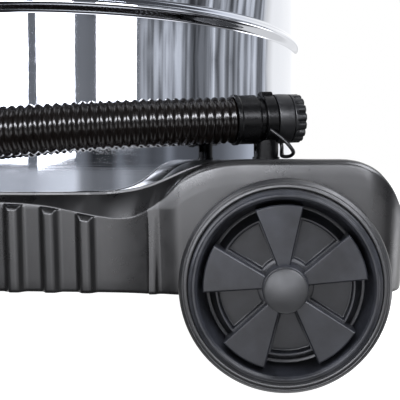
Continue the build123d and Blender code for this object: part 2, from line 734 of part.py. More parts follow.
with BuildPart() as head_band:
    add(cover_shell.part)
    split(bisect_by=Plane.XY.offset(Z_SEAM + 20), keep=Keep.BOTTOM)
head_band.part.label = "head_band"
export_step(head_band.part, "parts/head_band.step")

with BuildPart() as exhaust_foam:
    with BuildSketch(Plane.XY.offset(Z_PAN + 5)):
        with Locations((XD, 0)):
            Circle(196.0)
            Circle(184.0, mode=Mode.SUBTRACT)
    extrude(amount=132.0)
exhaust_foam.part.label = "exhaust_foam"
export_step(exhaust_foam.part, "parts/exhaust_foam.step")

with BuildPart() as top_handle:
    with BuildLine() as grip_path:
        FilletPolyline((XD, -82, Z_CROWN), (XD, -82, Z_CROWN + 46),
                       (XD, 82, Z_CROWN + 46), (XD, 82, Z_CROWN), radius=20)
    with BuildSketch(Plane(origin=(XD, -82, Z_CROWN), x_dir=(1, 0, 0),
                           z_dir=(0, 0, 1))):
        RectangleRounded(32.0, 20.0, 8.0)
    sweep()
    for m in (1, -1):
        with Locations((XD, m * 82, Z_CROWN)):
            Cylinder(26.0, 5.0, align=(Align.CENTER, Align.CENTER, Align.MIN))
top_handle.part.label = "top_handle"
export_step(top_handle.part, "parts/top_handle.step")

with BuildPart() as switch_plate:
    with BuildSketch(Plane.XY.offset(Z_CROWN)):
        with Locations((SWX, 0)):
            RectangleRounded(44.0, 74.0, 8.0)
            Rectangle(21.0, 33.0, mode=Mode.SUBTRACT)
    extrude(amount=5.0)
switch_plate.part.label = "switch_plate"
export_step(switch_plate.part, "parts/switch_plate.step")

with BuildPart() as rocker:
    with BuildSketch(Plane.YZ.offset(SWX)):
        Polygon((-15.0, 811.6), (-14.6, 816.4), (0, 813.4), (14.6, 814.6),
                (15.0, 811.0), (6.0, 803.0), (-6.0, 803.0), align=None)
    extrude(amount=9.8, both=True)
rocker.part = rocker.part.rotate(Axis((SWX, 0, 810.0), (1, 0, 0)), -6.0)
rocker.part.label = "rocker"
export_step(rocker.part, "parts/rocker.step")

with BuildPart() as cable_gland:
    with Locations(Location((XD + R_PAN - 3.0, 0, 711.0), (0, 90, 0))):
        Cylinder(8.0, 20.0)
    with BuildSketch(Plane(origin=(XD + R_PAN + 0.6, 0, 711.0), z_dir=(1, 0, 0))):
        RegularPolygon(11.0, 6)
    extrude(amount=7.0)
    with BuildSketch(Plane(origin=(XD + R_PAN + 7.6, 0, 711.0), z_dir=(1, 0, 0))):
        Circle(8.5)
    extrude(amount=14.0, taper=8)
    with BuildSketch(Plane(origin=(XD + R_PAN - 12.4, 0, 711.0), z_dir=(1, 0, 0))):
        RegularPolygon(11.0, 6)
    extrude(amount=8.0)
    with Locations(Location((XD + R_PAN, 0, 711.0), (0, 90, 0))):
        Cylinder(4.6, 80.0, mode=Mode.SUBTRACT)
cable_gland.part.label = "cable_gland"
export_step(cable_gland.part, "parts/cable_gland.step")

with BuildPart() as latch_pins:
    for m in (1, -1):
        with Locations(Location((XD, m * PIN_Y, PIN_Z), (0, 90, 0))):
            Cylinder(2.5, 37.0)
latch_pins.part.label = "latch_pins"
export_step(latch_pins.part, "parts/latch_pins.step")

for m, tag in ((-1, "left"), (1, "right")):
    with BuildPart() as latch:
        with BuildSketch(Plane.YZ.offset(XD)):
            Polygon((m * 235.6, 690), (m * 242.6, 690), (m * 242.6, 622),
                    (m * 257, 605), (m * 254.5, 602), (m * 238, 615),
                    (m * 223.8, 620), (m * 223.8, 625.6), (m * 235.6, 628),
                    align=None)
            with Locations((m * PIN_Y, PIN_Z)):
                Circle(5.5)
                Circle(2.56, mode=Mode.SUBTRACT)
        extrude(amount=11.0, both=True)
    latch.part.label = tag + "_latch"
    export_step(latch.part, "parts/" + tag + "_latch.step")

# --------------------------------------------------------------------- motor
Z_FAN = Z_PAN + 5.0
with BuildPart() as motor_case:
    with BuildSketch(Plane.XZ):
        Polygon((XD + 24, Z_FAN), (XD + 70, Z_FAN), (XD + 70, Z_FAN + 44),
                (XD + 20, Z_FAN + 44), (XD + 20, Z_FAN + 42), (XD + 68, Z_FAN + 42),
                (XD + 68, Z_FAN + 2), (XD + 24, Z_FAN + 2), align=None)
    revolve(axis=DRUM_AXIS)
    with Locations((XD, 0, Z_FAN + 44)):
        with PolarLocations(52.0, 4, start_angle=45):
            Cylinder(4.0, 66.0, align=(Align.CENTER, Align.CENTER, Align.MIN))
    with Locations((XD, 0, Z_FAN + 110)):
        Cylinder(57.0, 4.0, align=(Align.CENTER, Align.CENTER, Align.MIN))
        Cylinder(5.05, 4.0, align=(Align.CENTER, Align.CENTER, Align.MIN),
                 mode=Mode.SUBTRACT)
        with PolarLocations(30.0, 6):
            Cylinder(9.0, 4.0, align=(Align.CENTER, Align.CENTER, Align.MIN),
                     mode=Mode.SUBTRACT)
    with Locations((XD, 0, Z_FAN + 21)):
        with PolarLocations(69.0, 10):
            Box(10.0, 14.0, 20.0, mode=Mode.SUBTRACT)
motor_case.part.label = "motor_case"
export_step(motor_case.part, "parts/motor_case.step")

with BuildPart() as motor_stator:
    with BuildSketch(Plane.XY.offset(Z_FAN + 52)):
        with Locations((XD, 0)):
            Circle(48.0)
            Circle(32.0, mode=Mode.SUBTRACT)
    extrude(amount=48.0)
motor_stator.part.label = "motor_stator"
export_step(motor_stator.part, "parts/motor_stator.step")

with BuildPart() as motor_rotor:
    with BuildSketch(Plane.XZ):
        Polygon((XD, Z_FAN + 10), (XD + 5, Z_FAN + 10), (XD + 5, Z_FAN + 54),
                (XD + 31, Z_FAN + 54), (XD + 31, Z_FAN + 98), (XD + 14, Z_FAN + 98),
                (XD + 14, Z_FAN + 108), (XD + 5, Z_FAN + 108), (XD + 5, Z_FAN + 118),
                (XD, Z_FAN + 118), align=None)
    revolve(axis=DRUM_AXIS)
motor_rotor.part.label = "motor_rotor"
export_step(motor_rotor.part, "parts/motor_rotor.step")

with BuildPart() as impeller:
    with Locations((XD, 0, Z_FAN + 34)):
        Cylinder(62.0, 2.5, align=(Align.CENTER, Align.CENTER, Align.MIN))
    with Locations((XD, 0, Z_FAN + 8)):
        Cylinder(13.0, 28.0, align=(Align.CENTER, Align.CENTER, Align.MIN))
    for k in range(8):
        with Locations(Location((XD, 0, Z_FAN + 22), (0, 0, 45 * k))):
            with Locations(Location((36.0, 9.0, 0), (0, 0, 28))):
                Box(48.0, 2.0, 26.0)
    with BuildSketch(Plane.XY.offset(Z_FAN + 7)):
        with Locations((XD, 0)):
            Circle(62.0)
            Circle(26.0, mode=Mode.SUBTRACT)
    extrude(amount=2.5)
    with Locations((XD, 0, Z_FAN)):
        Cylinder(5.0, 50.0, align=(Align.CENTER, Align.CENTER, Align.MIN),
                 mode=Mode.SUBTRACT)
impeller.part.label = "impeller"
export_step(impeller.part, "parts/impeller.step")

# -------------------------------------------------------------------- filter
with BuildPart() as filter_cage:
    with BuildSketch(Plane.XY.offset(Z_PAN - 4)):
        with Locations((XD, 0)):
            Circle(66.0)
            Circle(43.0, mode=Mode.SUBTRACT)
    extrude(amount=4.0)
    with BuildSketch(Plane.XY.offset(470.0)):
        with Locations((XD, 0)):
            Circle(54.0)
            with PolarLocations(34.0, 6):
                Circle(8.0, mode=Mode.SUBTRACT)
            Circle(5.0, mode=Mode.SUBTRACT)
    extrude(amount=5.0)
    with BuildSketch(Plane.XY.offset(470.0)):
        with Locations((XD, 0)):
            with PolarLocations(51.0, 8):
                Rectangle(6.0, 9.0)
    extrude(amount=Z_PAN - 4 - 470.0)
    with BuildSketch(Plane.XY.offset(556.0)):
        with Locations((XD, 0)):
            Circle(54.0)
            Circle(48.0, mode=Mode.SUBTRACT)
    extrude(amount=6.0)
filter_cage.part.label = "filter_cage"
export_step(filter_cage.part, "parts/filter_cage.step")

with BuildPart() as float_ball:
    with Locations((XD, 0, 505.6)):
        Sphere(30.0)
        Sphere(28.0, mode=Mode.SUBTRACT)
float_ball.part.label = "float_ball"
export_step(float_ball.part, "parts/float_ball.step")

PLEATS = 44


def pleats(r_out, r_in):
    return [(XD + (r_out if k % 2 else r_in) * math.cos(math.pi * k / PLEATS),
             (r_out if k % 2 else r_in) * math.sin(math.pi * k / PLEATS))
            for k in range(2 * PLEATS)]


with BuildPart() as filter_media:
    with BuildSketch(Plane.XY.offset(484.0)):
        Polygon(*pleats(84.0, 64.0), align=None)
        Polygon(*pleats(79.0, 59.0), align=None, mode=Mode.SUBTRACT)
    extrude(amount=146.0)
filter_media.part.label = "filter_media"
export_step(filter_media.part, "parts/filter_media.step")

with BuildPart() as filter_ends:
    for z0, h in ((470.0, 14.0), (630.0, 11.0)):
        with BuildSketch(Plane.XY.offset(z0)):
            with Locations((XD, 0)):
                Circle(86.0)
                Circle(57.0, mode=Mode.SUBTRACT)
        extrude(amount=h)
filter_ends.part.label = "filter_ends"
export_step(filter_ends.part, "parts/filter_ends.step")

with BuildPart() as filter_retainer:
    with BuildSketch(Plane.XY.offset(466.0)):
        with Locations((XD, 0)):
            Circle(84.0)
    extrude(amount=4.0)
    with BuildSketch(Plane.XY.offset(448.0)):
        with Locations((XD, 0)):
            Circle(13.0)
            RectangleRounded(56.0, 10.0, 4.0)
    extrude(amount=18.0)
    with Locations((XD, 0, 466.0)):
        Cylinder(5.0, 8.6, align=(Align.CENTER, Align.CENTER, Align.MIN))
filter_retainer.part.label = "filter_retainer"
export_step(filter_retainer.part, "parts/filter_retainer.step")
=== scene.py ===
import json
import math

import bmesh
import bpy
import numpy as np
from mathutils import Matrix, Vector
from mathutils.geometry import tessellate_polygon


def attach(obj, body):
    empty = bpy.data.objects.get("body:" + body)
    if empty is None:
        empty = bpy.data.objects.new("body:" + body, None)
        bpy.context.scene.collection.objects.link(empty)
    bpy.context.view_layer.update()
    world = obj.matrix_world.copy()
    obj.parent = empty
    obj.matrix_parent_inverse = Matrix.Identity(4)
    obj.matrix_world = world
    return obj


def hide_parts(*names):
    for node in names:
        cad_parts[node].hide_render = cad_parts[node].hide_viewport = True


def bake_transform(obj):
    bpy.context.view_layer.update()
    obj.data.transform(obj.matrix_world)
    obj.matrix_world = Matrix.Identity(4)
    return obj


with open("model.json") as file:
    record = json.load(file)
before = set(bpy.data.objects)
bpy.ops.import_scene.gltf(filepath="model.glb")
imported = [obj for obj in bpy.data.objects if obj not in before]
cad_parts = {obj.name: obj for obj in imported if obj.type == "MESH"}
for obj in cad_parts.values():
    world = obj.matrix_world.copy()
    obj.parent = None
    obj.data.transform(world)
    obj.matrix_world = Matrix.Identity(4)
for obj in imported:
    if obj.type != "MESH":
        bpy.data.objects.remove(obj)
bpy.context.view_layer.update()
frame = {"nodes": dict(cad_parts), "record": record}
NODES = frame["nodes"]
scene = bpy.context.scene
MM = 0.001

# ------------------------------------------------------------------ dimensions
XD = -16.5
XW = 191.5
R_DRUM = 220.0
R_WHEEL = 79.3
E0 = np.array([155.0, -197.0, 206.0])
U1 = np.array([0.934729318, 0.351898096, 0.04948567])
U1 = U1 / np.linalg.norm(U1)
NEAR = np.array([U1[1], -U1[0], 0.0]) / math.hypot(U1[0], U1[1])
DOWN = np.cross(U1, NEAR)                     # local +y of the hose end, points down

# ---------------------------------------------------------------------- camera
cam_data = bpy.data.cameras.new("camera")
cam = bpy.data.objects.new("camera", cam_data)
scene.collection.objects.link(cam)
cam_data.sensor_fit = "HORIZONTAL"
cam_data.sensor_width = 36.0
cam_data.lens = 57.41
cam_data.shift_x = -0.2004
cam_data.shift_y = -0.0916
cam_data.clip_start = 0.02
cam_data.clip_end = 60.0
cam.location = (0.18758, -0.7324, 0.16954)
cam.rotation_euler = (math.pi / 2, 0.0, 0.0)
scene.camera = cam


# --------------------------------------------------------------------- helpers
def add_object(name, mesh):
    ob = bpy.data.objects.new(name, mesh)
    scene.collection.objects.link(ob)
    return ob


def mesh_object(name, verts, faces, angle=35.0):
    """verts in mm; smooth shaded, sharp above the angle, normals outward."""
    me = bpy.data.meshes.new(name)
    me.from_pydata([tuple(float(c) * MM for c in v) for v in verts], [],
                   [tuple(int(i) for i in f) for f in faces])
    bm = bmesh.new()
    bm.from_mesh(me)
    bmesh.ops.remove_doubles(bm, verts=bm.verts, dist=1e-6)
    bmesh.ops.dissolve_degenerate(bm, edges=bm.edges, dist=1e-7)
    bmesh.ops.recalc_face_normals(bm, faces=bm.faces)
    bm.to_mesh(me)
    bm.free()
    smooth(me, angle)
    return add_object(name, me)


def smooth(me, angle=35.0):
    me.polygons.foreach_set("use_smooth", [True] * len(me.polygons))
    me.set_sharp_from_angle(angle=math.radians(angle))
    me.update()


def rounded(pts, radii, n=5, fixed=False):
    """A 2-D line with its inner corners rounded."""
    if not hasattr(radii, "__len__"):
        radii = [radii] * len(pts)
    out = [tuple(pts[0])]
    for i in range(1, len(pts) - 1):
        p0, p, p1 = (np.array(pts[j], float) for j in (i - 1, i, i + 1))
        a, b = p0 - p, p1 - p
        la, lb = np.linalg.norm(a), np.linalg.norm(b)
        a, b = a / la, b / lb
        c = float(np.clip(a @ b, -1, 1))
        half = math.acos(c) / 2
        r = radii[i]
        if r <= 0 or half > math.radians(87):
            if fixed and r > 0:
                t = min(0.6, 0.3 * la, 0.3 * lb)
                for k in range(n + 1):
                    w = 2 * k / n - 1
                    q = p + (a * -w if w < 0 else b * w) * t
                    out.append(tuple(q))
            else:
                out.append(tuple(p))
            continue
        t = min(r / math.tan(half), 0.48 * la, 0.48 * lb)
        r = t * math.tan(half)
        mid = (a + b) / np.linalg.norm(a + b)
        o = p + mid * (r / math.sin(half))
        s, e = p + a * t - o, p + b * t - o
        turn = math.atan2(s[0] * e[1] - s[1] * e[0], s @ e)
        if la - t > 1.2 and not fixed:
            out.append(tuple(p + a * (t + 0.2)))
        for k in range(n + 1):
            w = turn * k / n
            out.append((o[0] + s[0] * math.cos(w) - s[1] * math.sin(w),
                        o[1] + s[0] * math.sin(w) + s[1] * math.cos(w)))
        if lb - t > 1.2 and not fixed:
            out.append(tuple(p + b * (t + 0.2)))
    out.append(tuple(pts[-1]))
    return out


def closed_rounded(pts, radii, n=5):
    """As rounded(), for a closed line."""
    k = len(pts)
    if not hasattr(radii, "__len__"):
        radii = [radii] * k
    start = [(pts[0][j] + pts[-1][j]) / 2 for j in (0, 1)]
    line = rounded([start, *pts, start], [0, *radii, 0], n)
    return line[:-1]


def lathe(name, prof, origin, axis, side, segs=128, closed=True, shape=None,
          angle=35.0):
    """Turns (radius, along) points in mm round an axis. shape(theta, r, h) may change r and h."""
    e3 = np.array(axis, float) / np.linalg.norm(axis)
    e1 = np.array(side, float)
    e1 = e1 - e3 * (e1 @ e3)
    e1 /= np.linalg.norm(e1)
    e2 = np.cross(e3, e1)
    origin = np.array(origin, float)
    verts, faces = [], []
    n = len(prof)
    for k in range(segs):
        th = 2 * math.pi * k / segs
        d = e1 * math.cos(th) + e2 * math.sin(th)
        for r, h in prof:
            if shape:
                r, h = shape(th, r, h)
            verts.append(origin + d * r + e3 * h)
    last = n if closed else n - 1
    for k in range(segs):
        a, b = k * n, ((k + 1) % segs) * n
        for j in range(last):
            j1 = (j + 1) % n
            faces.append((a + j, b + j, b + j1, a + j1))
    return mesh_object(name, verts, faces, angle)


def prism(outline, frame_pts, h0, h1):
    """verts, faces of an extruded outline; frame_pts = (origin, ex, ey, ez)."""
    o, ex, ey, ez = (np.array(v, float) for v in frame_pts)
    n = len(outline)
    verts = [o + ex * x + ey * y + ez * h for h in (h0, h1) for x, y in outline]
    faces = [tuple(range(n))[::-1], tuple(range(n, 2 * n))]
    faces += [(i, (i + 1) % n, n + (i + 1) % n, n + i) for i in range(n)]
    return verts, faces


def bevel(ob, width, segments=3, angle=32.0):
    m = ob.modifiers.new("edge", "BEVEL")
    m.width = width * MM
    m.segments = segments
    m.limit_method = "ANGLE"
    m.angle_limit = math.radians(angle)
    m.harden_normals = False
    m.use_clamp_overlap = True
    return m


def bake(ob, angle=35.0):
    """Turns a piece's modifiers into its mesh."""
    dep = bpy.context.evaluated_depsgraph_get()
    dep.update()
    me = bpy.data.meshes.new_from_object(ob.evaluated_get(dep))
    ob.modifiers.clear()
    ob.data = me
    smooth(me, angle)
    return ob


def boolean(ob, cutter, how="DIFFERENCE"):
    m = ob.modifiers.new("cut", "BOOLEAN")
    m.operation = how
    m.solver = "EXACT"
    m.object = cutter
    dep = bpy.context.evaluated_depsgraph_get()
    dep.update()
    me = bpy.data.meshes.new_from_object(ob.evaluated_get(dep))
    ob.modifiers.clear()
    ob.data = me
    bpy.data.objects.remove(cutter)
    return ob


def join(ob, *others):
    """Puts the meshes of other pieces into ob."""
    bm = bmesh.new()
    bm.from_mesh(ob.data)
    for o in others:
        bm.from_mesh(o.data)
    bm.to_mesh(ob.data)
    bm.free()
    for o in others:
        bpy.data.objects.remove(o)
    return ob


def spline(xs, ys):
    """Monotone cubic through points, as a function."""
    xs, ys = np.array(xs, float), np.array(ys, float)
    d = np.diff(ys) / np.diff(xs)
    m = np.empty_like(ys)
    m[0], m[-1] = d[0], d[-1]
    for i in range(1, len(xs) - 1):
        m[i] = 0.0 if d[i - 1] * d[i] <= 0 else 2 * d[i - 1] * d[i] / (d[i - 1] + d[i])

    def f(x):
        x = float(np.clip(x, xs[0], xs[-1]))
        i = int(np.clip(np.searchsorted(xs, x) - 1, 0, len(xs) - 2))
        h = xs[i + 1] - xs[i]
        t = (x - xs[i]) / h
        return ((2 * t ** 3 - 3 * t ** 2 + 1) * ys[i] + (t ** 3 - 2 * t ** 2 + t) * h * m[i]
                + (-2 * t ** 3 + 3 * t ** 2) * ys[i + 1] + (t ** 3 - t ** 2) * h * m[i + 1])
    return f


def step(a, b, x):
    t = float(np.clip((x - a) / (b - a), 0, 1))
    return t * t * (3 - 2 * t)


# ------------------------------------------------------------------- materials
def material(name, colour, rough, metallic=0.0, vary=0.18, rough_vary=0.06,
             grain=2600.0, bump=0.12, blotch=26.0, coat=0.0, coat_rough=0.1,
             spec=0.5, wear=0.0, wear_colour=(0.3, 0.3, 0.31), stretch=(1, 1, 1),
             aniso=0.0, sheen=0.0, emit=0.0):
    """A moulded or drawn surface: slow blotches in colour and gloss, fine grain in the bump, worn edges."""
    mat = bpy.data.materials.new(name)
    mat.use_nodes = True
    nt = mat.node_tree
    nt.nodes.clear()
    out = nt.nodes.new("ShaderNodeOutputMaterial")
    bs = nt.nodes.new("ShaderNodeBsdfPrincipled")
    nt.links.new(bs.outputs["BSDF"], out.inputs["Surface"])
    tc = nt.nodes.new("ShaderNodeTexCoord")
    mp = nt.nodes.new("ShaderNodeMapping")
    mp.inputs["Scale"].default_value = stretch
    nt.links.new(tc.outputs["Object"], mp.inputs["Vector"])
    big = nt.nodes.new("ShaderNodeTexNoise")
    big.inputs["Scale"].default_value = blotch
    big.inputs["Detail"].default_value = 5.0
    big.inputs["Roughness"].default_value = 0.6
    nt.links.new(mp.outputs["Vector"], big.inputs["Vector"])
    ramp = nt.nodes.new("ShaderNodeValToRGB")
    lo = [c * (1 - vary) for c in colour]
    hi = [min(1.0, c * (1 + vary)) for c in colour]
    ramp.color_ramp.elements[0].position = 0.3
    ramp.color_ramp.elements[0].color = (*lo, 1)
    ramp.color_ramp.elements[1].position = 0.72
    ramp.color_ramp.elements[1].color = (*hi, 1)
    nt.links.new(big.outputs["Fac"], ramp.inputs["Fac"])
    colour_out = ramp.outputs["Color"]
    if wear > 0:
        geo = nt.nodes.new("ShaderNodeNewGeometry")
        edge = nt.nodes.new("ShaderNodeMapRange")
        edge.inputs["From Min"].default_value = 0.51
        edge.inputs["From Max"].default_value = 0.60
        edge.inputs["To Max"].default_value = wear
        nt.links.new(geo.outputs["Pointiness"], edge.inputs["Value"])
        rub = nt.nodes.new("ShaderNodeTexNoise")
        rub.inputs["Scale"].default_value = 140.0
        rub.inputs["Detail"].default_value = 4.0
        nt.links.new(tc.outputs["Object"], rub.inputs["Vector"])
        mul = nt.nodes.new("ShaderNodeMath")
        mul.operation = "MULTIPLY"
        nt.links.new(edge.outputs["Result"], mul.inputs[0])
        nt.links.new(rub.outputs["Fac"], mul.inputs[1])
        mix = nt.nodes.new("ShaderNodeMix")
        mix.data_type = "RGBA"
        nt.links.new(mul.outputs["Value"], mix.inputs["Factor"])
        nt.links.new(colour_out, mix.inputs[6])
        mix.inputs[7].default_value = (*wear_colour, 1)
        colour_out = mix.outputs[2]
    nt.links.new(colour_out, bs.inputs["Base Color"])
    fine = nt.nodes.new("ShaderNodeTexNoise")
    fine.inputs["Scale"].default_value = grain
    fine.inputs["Detail"].default_value = 3.0
    nt.links.new(mp.outputs["Vector"], fine.inputs["Vector"])
    mid = nt.nodes.new("ShaderNodeTexNoise")
    mid.inputs["Scale"].default_value = blotch * 3.1
    mid.inputs["Detail"].default_value = 6.0
    mid.inputs["Roughness"].default_value = 0.65
    nt.links.new(mp.outputs["Vector"], mid.inputs["Vector"])
    rr = nt.nodes.new("ShaderNodeMapRange")
    rr.inputs["From Min"].default_value = 0.25
    rr.inputs["From Max"].default_value = 0.75
    rr.inputs["To Min"].default_value = max(0.02, rough - rough_vary)
    rr.inputs["To Max"].default_value = min(1.0, rough + rough_vary)
    nt.links.new(mid.outputs["Fac"], rr.inputs["Value"])
    nt.links.new(rr.outputs["Result"], bs.inputs["Roughness"])
    if bump > 0:
        bp = nt.nodes.new("ShaderNodeBump")
        bp.inputs["Strength"].default_value = bump
        bp.inputs["Distance"].default_value = 0.0002
        nt.links.new(fine.outputs["Fac"], bp.inputs["Height"])
        nt.links.new(bp.outputs["Normal"], bs.inputs["Normal"])
    bs.inputs["Metallic"].default_value = metallic
    bs.inputs["Specular IOR Level"].default_value = spec
    bs.inputs["Coat Weight"].default_value = coat
    bs.inputs["Coat Roughness"].default_value = coat_rough
    bs.inputs["Anisotropic"].default_value = aniso
    bs.inputs["Sheen Weight"].default_value = sheen
    return mat


def steel(name):
    """Polished stainless sheet: crisp across, drawn out along the height, faint ripples and rubbing."""
    mat = bpy.data.materials.new(name)
    mat.use_nodes = True
    nt = mat.node_tree
    nt.nodes.clear()
    out = nt.nodes.new("ShaderNodeOutputMaterial")
    bs = nt.nodes.new("ShaderNodeBsdfPrincipled")
    nt.links.new(bs.outputs["BSDF"], out.inputs["Surface"])
    bs.inputs["Metallic"].default_value = 1.0
    bs.inputs["Anisotropic"].default_value = 0.4
    bs.inputs["Anisotropic Rotation"].default_value = 0.25
    tan = nt.nodes.new("ShaderNodeTangent")
    tan.direction_type = "RADIAL"
    tan.axis = "Z"
    nt.links.new(tan.outputs["Tangent"], bs.inputs["Tangent"])
    tc = nt.nodes.new("ShaderNodeTexCoord")

    def noise(scale, stretch, detail=3.0):
        mp = nt.nodes.new("ShaderNodeMapping")
        mp.inputs["Scale"].default_value = stretch
        nt.links.new(tc.outputs["Object"], mp.inputs["Vector"])
        n = nt.nodes.new("ShaderNodeTexNoise")
        n.inputs["Scale"].default_value = scale
        n.inputs["Detail"].default_value = detail
        nt.links.new(mp.outputs["Vector"], n.inputs["Vector"])
        return n
    tone = noise(9.0, (1, 1, 0.25), 4.0)
    ramp = nt.nodes.new("ShaderNodeValToRGB")
    ramp.color_ramp.elements[0].position = 0.3
    ramp.color_ramp.elements[0].color = (0.56, 0.58, 0.63, 1)
    ramp.color_ramp.elements[1].position = 0.7
    ramp.color_ramp.elements[1].color = (0.66, 0.675, 0.71, 1)
    nt.links.new(tone.outputs["Fac"], ramp.inputs["Fac"])
    nt.links.new(ramp.outputs["Color"], bs.inputs["Base Color"])
    rub = noise(60.0, (0.5, 0.5, 9.0), 6.0)
    rr = nt.nodes.new("ShaderNodeMapRange")
    rr.inputs["From Min"].default_value = 0.3
    rr.inputs["From Max"].default_value = 0.75
    rr.inputs["To Min"].default_value = 0.025
    rr.inputs["To Max"].default_value = 0.06
    nt.links.new(rub.outputs["Fac"], rr.inputs["Value"])
    nt.links.new(rr.outputs["Result"], bs.inputs["Roughness"])
    ripple = noise(15.0, (1, 1, 0.14), 2.0)
    b1 = nt.nodes.new("ShaderNodeBump")
    b1.inputs["Strength"].default_value = 0.16
    b1.inputs["Distance"].default_value = 0.0012
    nt.links.new(ripple.outputs["Fac"], b1.inputs["Height"])
    lines = noise(900.0, (0.02, 0.02, 1.0), 2.0)
    b2 = nt.nodes.new("ShaderNodeBump")
    b2.inputs["Strength"].default_value = 0.03
    b2.inputs["Distance"].default_value = 0.0001
    nt.links.new(lines.outputs["Fac"], b2.inputs["Height"])
    nt.links.new(b1.outputs["Normal"], b2.inputs["Normal"])
    nt.links.new(b2.outputs["Normal"], bs.inputs["Normal"])
    return mat


MAT = {
    "black_plastic": material("black_plastic", (0.0034, 0.0033, 0.0034), 0.30, grain=1700.0,
                              bump=0.06, blotch=14.0, rough_vary=0.07, vary=0.3, spec=0.62),
    "wheel_plastic": material("wheel_plastic", (0.0120, 0.0128, 0.0156), 0.44, grain=2000.0,
                              bump=0.17, blotch=34.0, rough_vary=0.16, vary=0.6, spec=0.12, coat=0.3,
                              coat_rough=0.2),
    "hub_plastic": material("hub_plastic", (0.0150, 0.0154, 0.0165), 0.48, grain=2200.0,
                            bump=0.25, blotch=60.0, vary=0.3),
    "tyre_rubber": material("tyre_rubber", (0.0045, 0.0046, 0.0052), 0.38, grain=1800.0,
                            bump=0.18, blotch=50.0, rough_vary=0.08, vary=0.3, spec=0.6),
    "hose_plastic": material("hose_plastic", (0.0034, 0.0024, 0.0020), 0.19, grain=1500.0,
                             bump=0.05, blotch=60.0, rough_vary=0.05, spec=0.3, coat=0.0,
                             coat_rough=0.06),
    "cuff_plastic": material("cuff_plastic", (0.0020, 0.0020, 0.0022), 0.30, grain=2000.0,
                             bump=0.12, blotch=70.0, rough_vary=0.08, vary=0.3, spec=0.13),
    "cap_plastic": material("cap_plastic", (0.0040, 0.0042, 0.0050), 0.38, grain=2600.0,
                            bump=0.18, blotch=70.0, rough_vary=0.08, vary=0.3, spec=0.34),
    "stainless": steel("stainless"),
    "zinc_steel": material("zinc_steel", (0.55, 0.56, 0.57), 0.32, metallic=1.0, vary=0.15,
                           grain=900.0, bump=0.08, blotch=120.0, rough_vary=0.1),
    "seal_rubber": material("seal_rubber", (0.012, 0.012, 0.0125), 0.62, grain=2200.0, bump=0.2,
                            vary=0.25),
    "head_plastic": material("head_plastic", (0.0048, 0.0048, 0.0051), 0.33, grain=2000.0,
                             bump=0.16, blotch=11.0, rough_vary=0.06, vary=0.3, wear=0.2,
                             wear_colour=(0.03, 0.03, 0.031)),
    "grip_plastic": material("grip_plastic", (0.0060, 0.0061, 0.0065), 0.50, grain=1300.0,
                             bump=0.3, blotch=30.0, vary=0.25),
    "switch_plastic": material("switch_plastic", (0.33, 0.012, 0.010), 0.30, grain=2400.0,
                               bump=0.08, blotch=80.0, vary=0.1),
    "latch_plastic": material("latch_plastic", (0.0095, 0.0097, 0.0108), 0.36, grain=2200.0,
                              bump=0.14, blotch=60.0, vary=0.25),
    "filter_paper": material("filter_paper", (0.72, 0.70, 0.63), 0.9, grain=700.0, bump=0.35,
                             blotch=45.0, vary=0.08),
    "foam": material("foam", (0.03, 0.0305, 0.032), 0.95, grain=420.0, bump=0.8, blotch=90.0,
                     vary=0.25),
    "motor_alloy": material("motor_alloy", (0.56, 0.57, 0.58), 0.42, metallic=1.0, vary=0.1,
                            grain=800.0, bump=0.16, blotch=60.0),
    "motor_iron": material("motor_iron", (0.22, 0.21, 0.20), 0.5, metallic=1.0, vary=0.2,
                           grain=600.0, bump=0.2, blotch=90.0, stretch=(1, 1, 6)),
    "float_plastic": material("float_plastic", (0.75, 0.74, 0.70), 0.4, grain=2000.0, bump=0.08,
                              blotch=40.0, vary=0.05),
}


def dress(ob, name):
    ob.data.materials.clear()
    ob.data.materials.append(MAT[name])
    return ob


def piece(ob, body, slot, *nodes):
    """A finished piece: material, the body it rides on, the CAD nodes it stands for."""
    dress(ob, slot)
    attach(ob, body)
    if nodes:
        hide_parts(*nodes)
    return ob


# ----------------------------------------------------------------- drain hose
ROUTE = [(-260.7, -4.2, 174.0), (-244.2, -97.8, 177.5), (-194.2, -180.9, 182.5),
         (-113.8, -235.1, 188.0), (-20.0, -250.0, 194.0), (70.0, -229.0, 201.5),
         (155.0, -197.0, 206.0)]
curve = bpy.data.curves.new("hose_line", "CURVE")
curve.dimensions = "3D"
curve.resolution_u = 48
line = curve.splines.new("NURBS")
line.points.add(len(ROUTE) - 1)
for q, p in zip(line.points, ROUTE):
    q.co = (p[0] * MM, p[1] * MM, p[2] * MM, 1.0)
line.order_u = 3
line.use_endpoint_u = True
line_ob = add_object("hose_line", curve)
bpy.context.view_layer.update()
dep = bpy.context.evaluated_depsgraph_get()
line_me = bpy.data.meshes.new_from_object(line_ob.evaluated_get(dep))
hose_pts = np.array([v.co for v in line_me.vertices], float) / MM
if np.linalg.norm(hose_pts[0] - ROUTE[0]) > np.linalg.norm(hose_pts[-1] - ROUTE[0]):
    hose_pts = hose_pts[::-1]
bpy.data.objects.remove(line_ob)
bpy.data.meshes.remove(line_me)
seg = np.linalg.norm(np.diff(hose_pts, axis=0), axis=1)
keep = np.r_[True, seg > 1e-6]
hose_pts = hose_pts[keep]
run = np.r_[0.0, np.cumsum(np.linalg.norm(np.diff(hose_pts, axis=0), axis=1))]
HOSE_LEN = float(run[-1])


def along_hose(s):
    return np.array([np.interp(s, run, hose_pts[:, k]) for k in range(3)])


def hose_frame(s):
    t = along_hose(min(s + 1.5, HOSE_LEN)) - along_hose(max(s - 1.5, 0.0))
    t /= np.linalg.norm(t)
    u = np.cross(t, [0.0, 0.0, 1.0])
    u /= np.linalg.norm(u)
    return along_hose(s), u, np.cross(u, t)


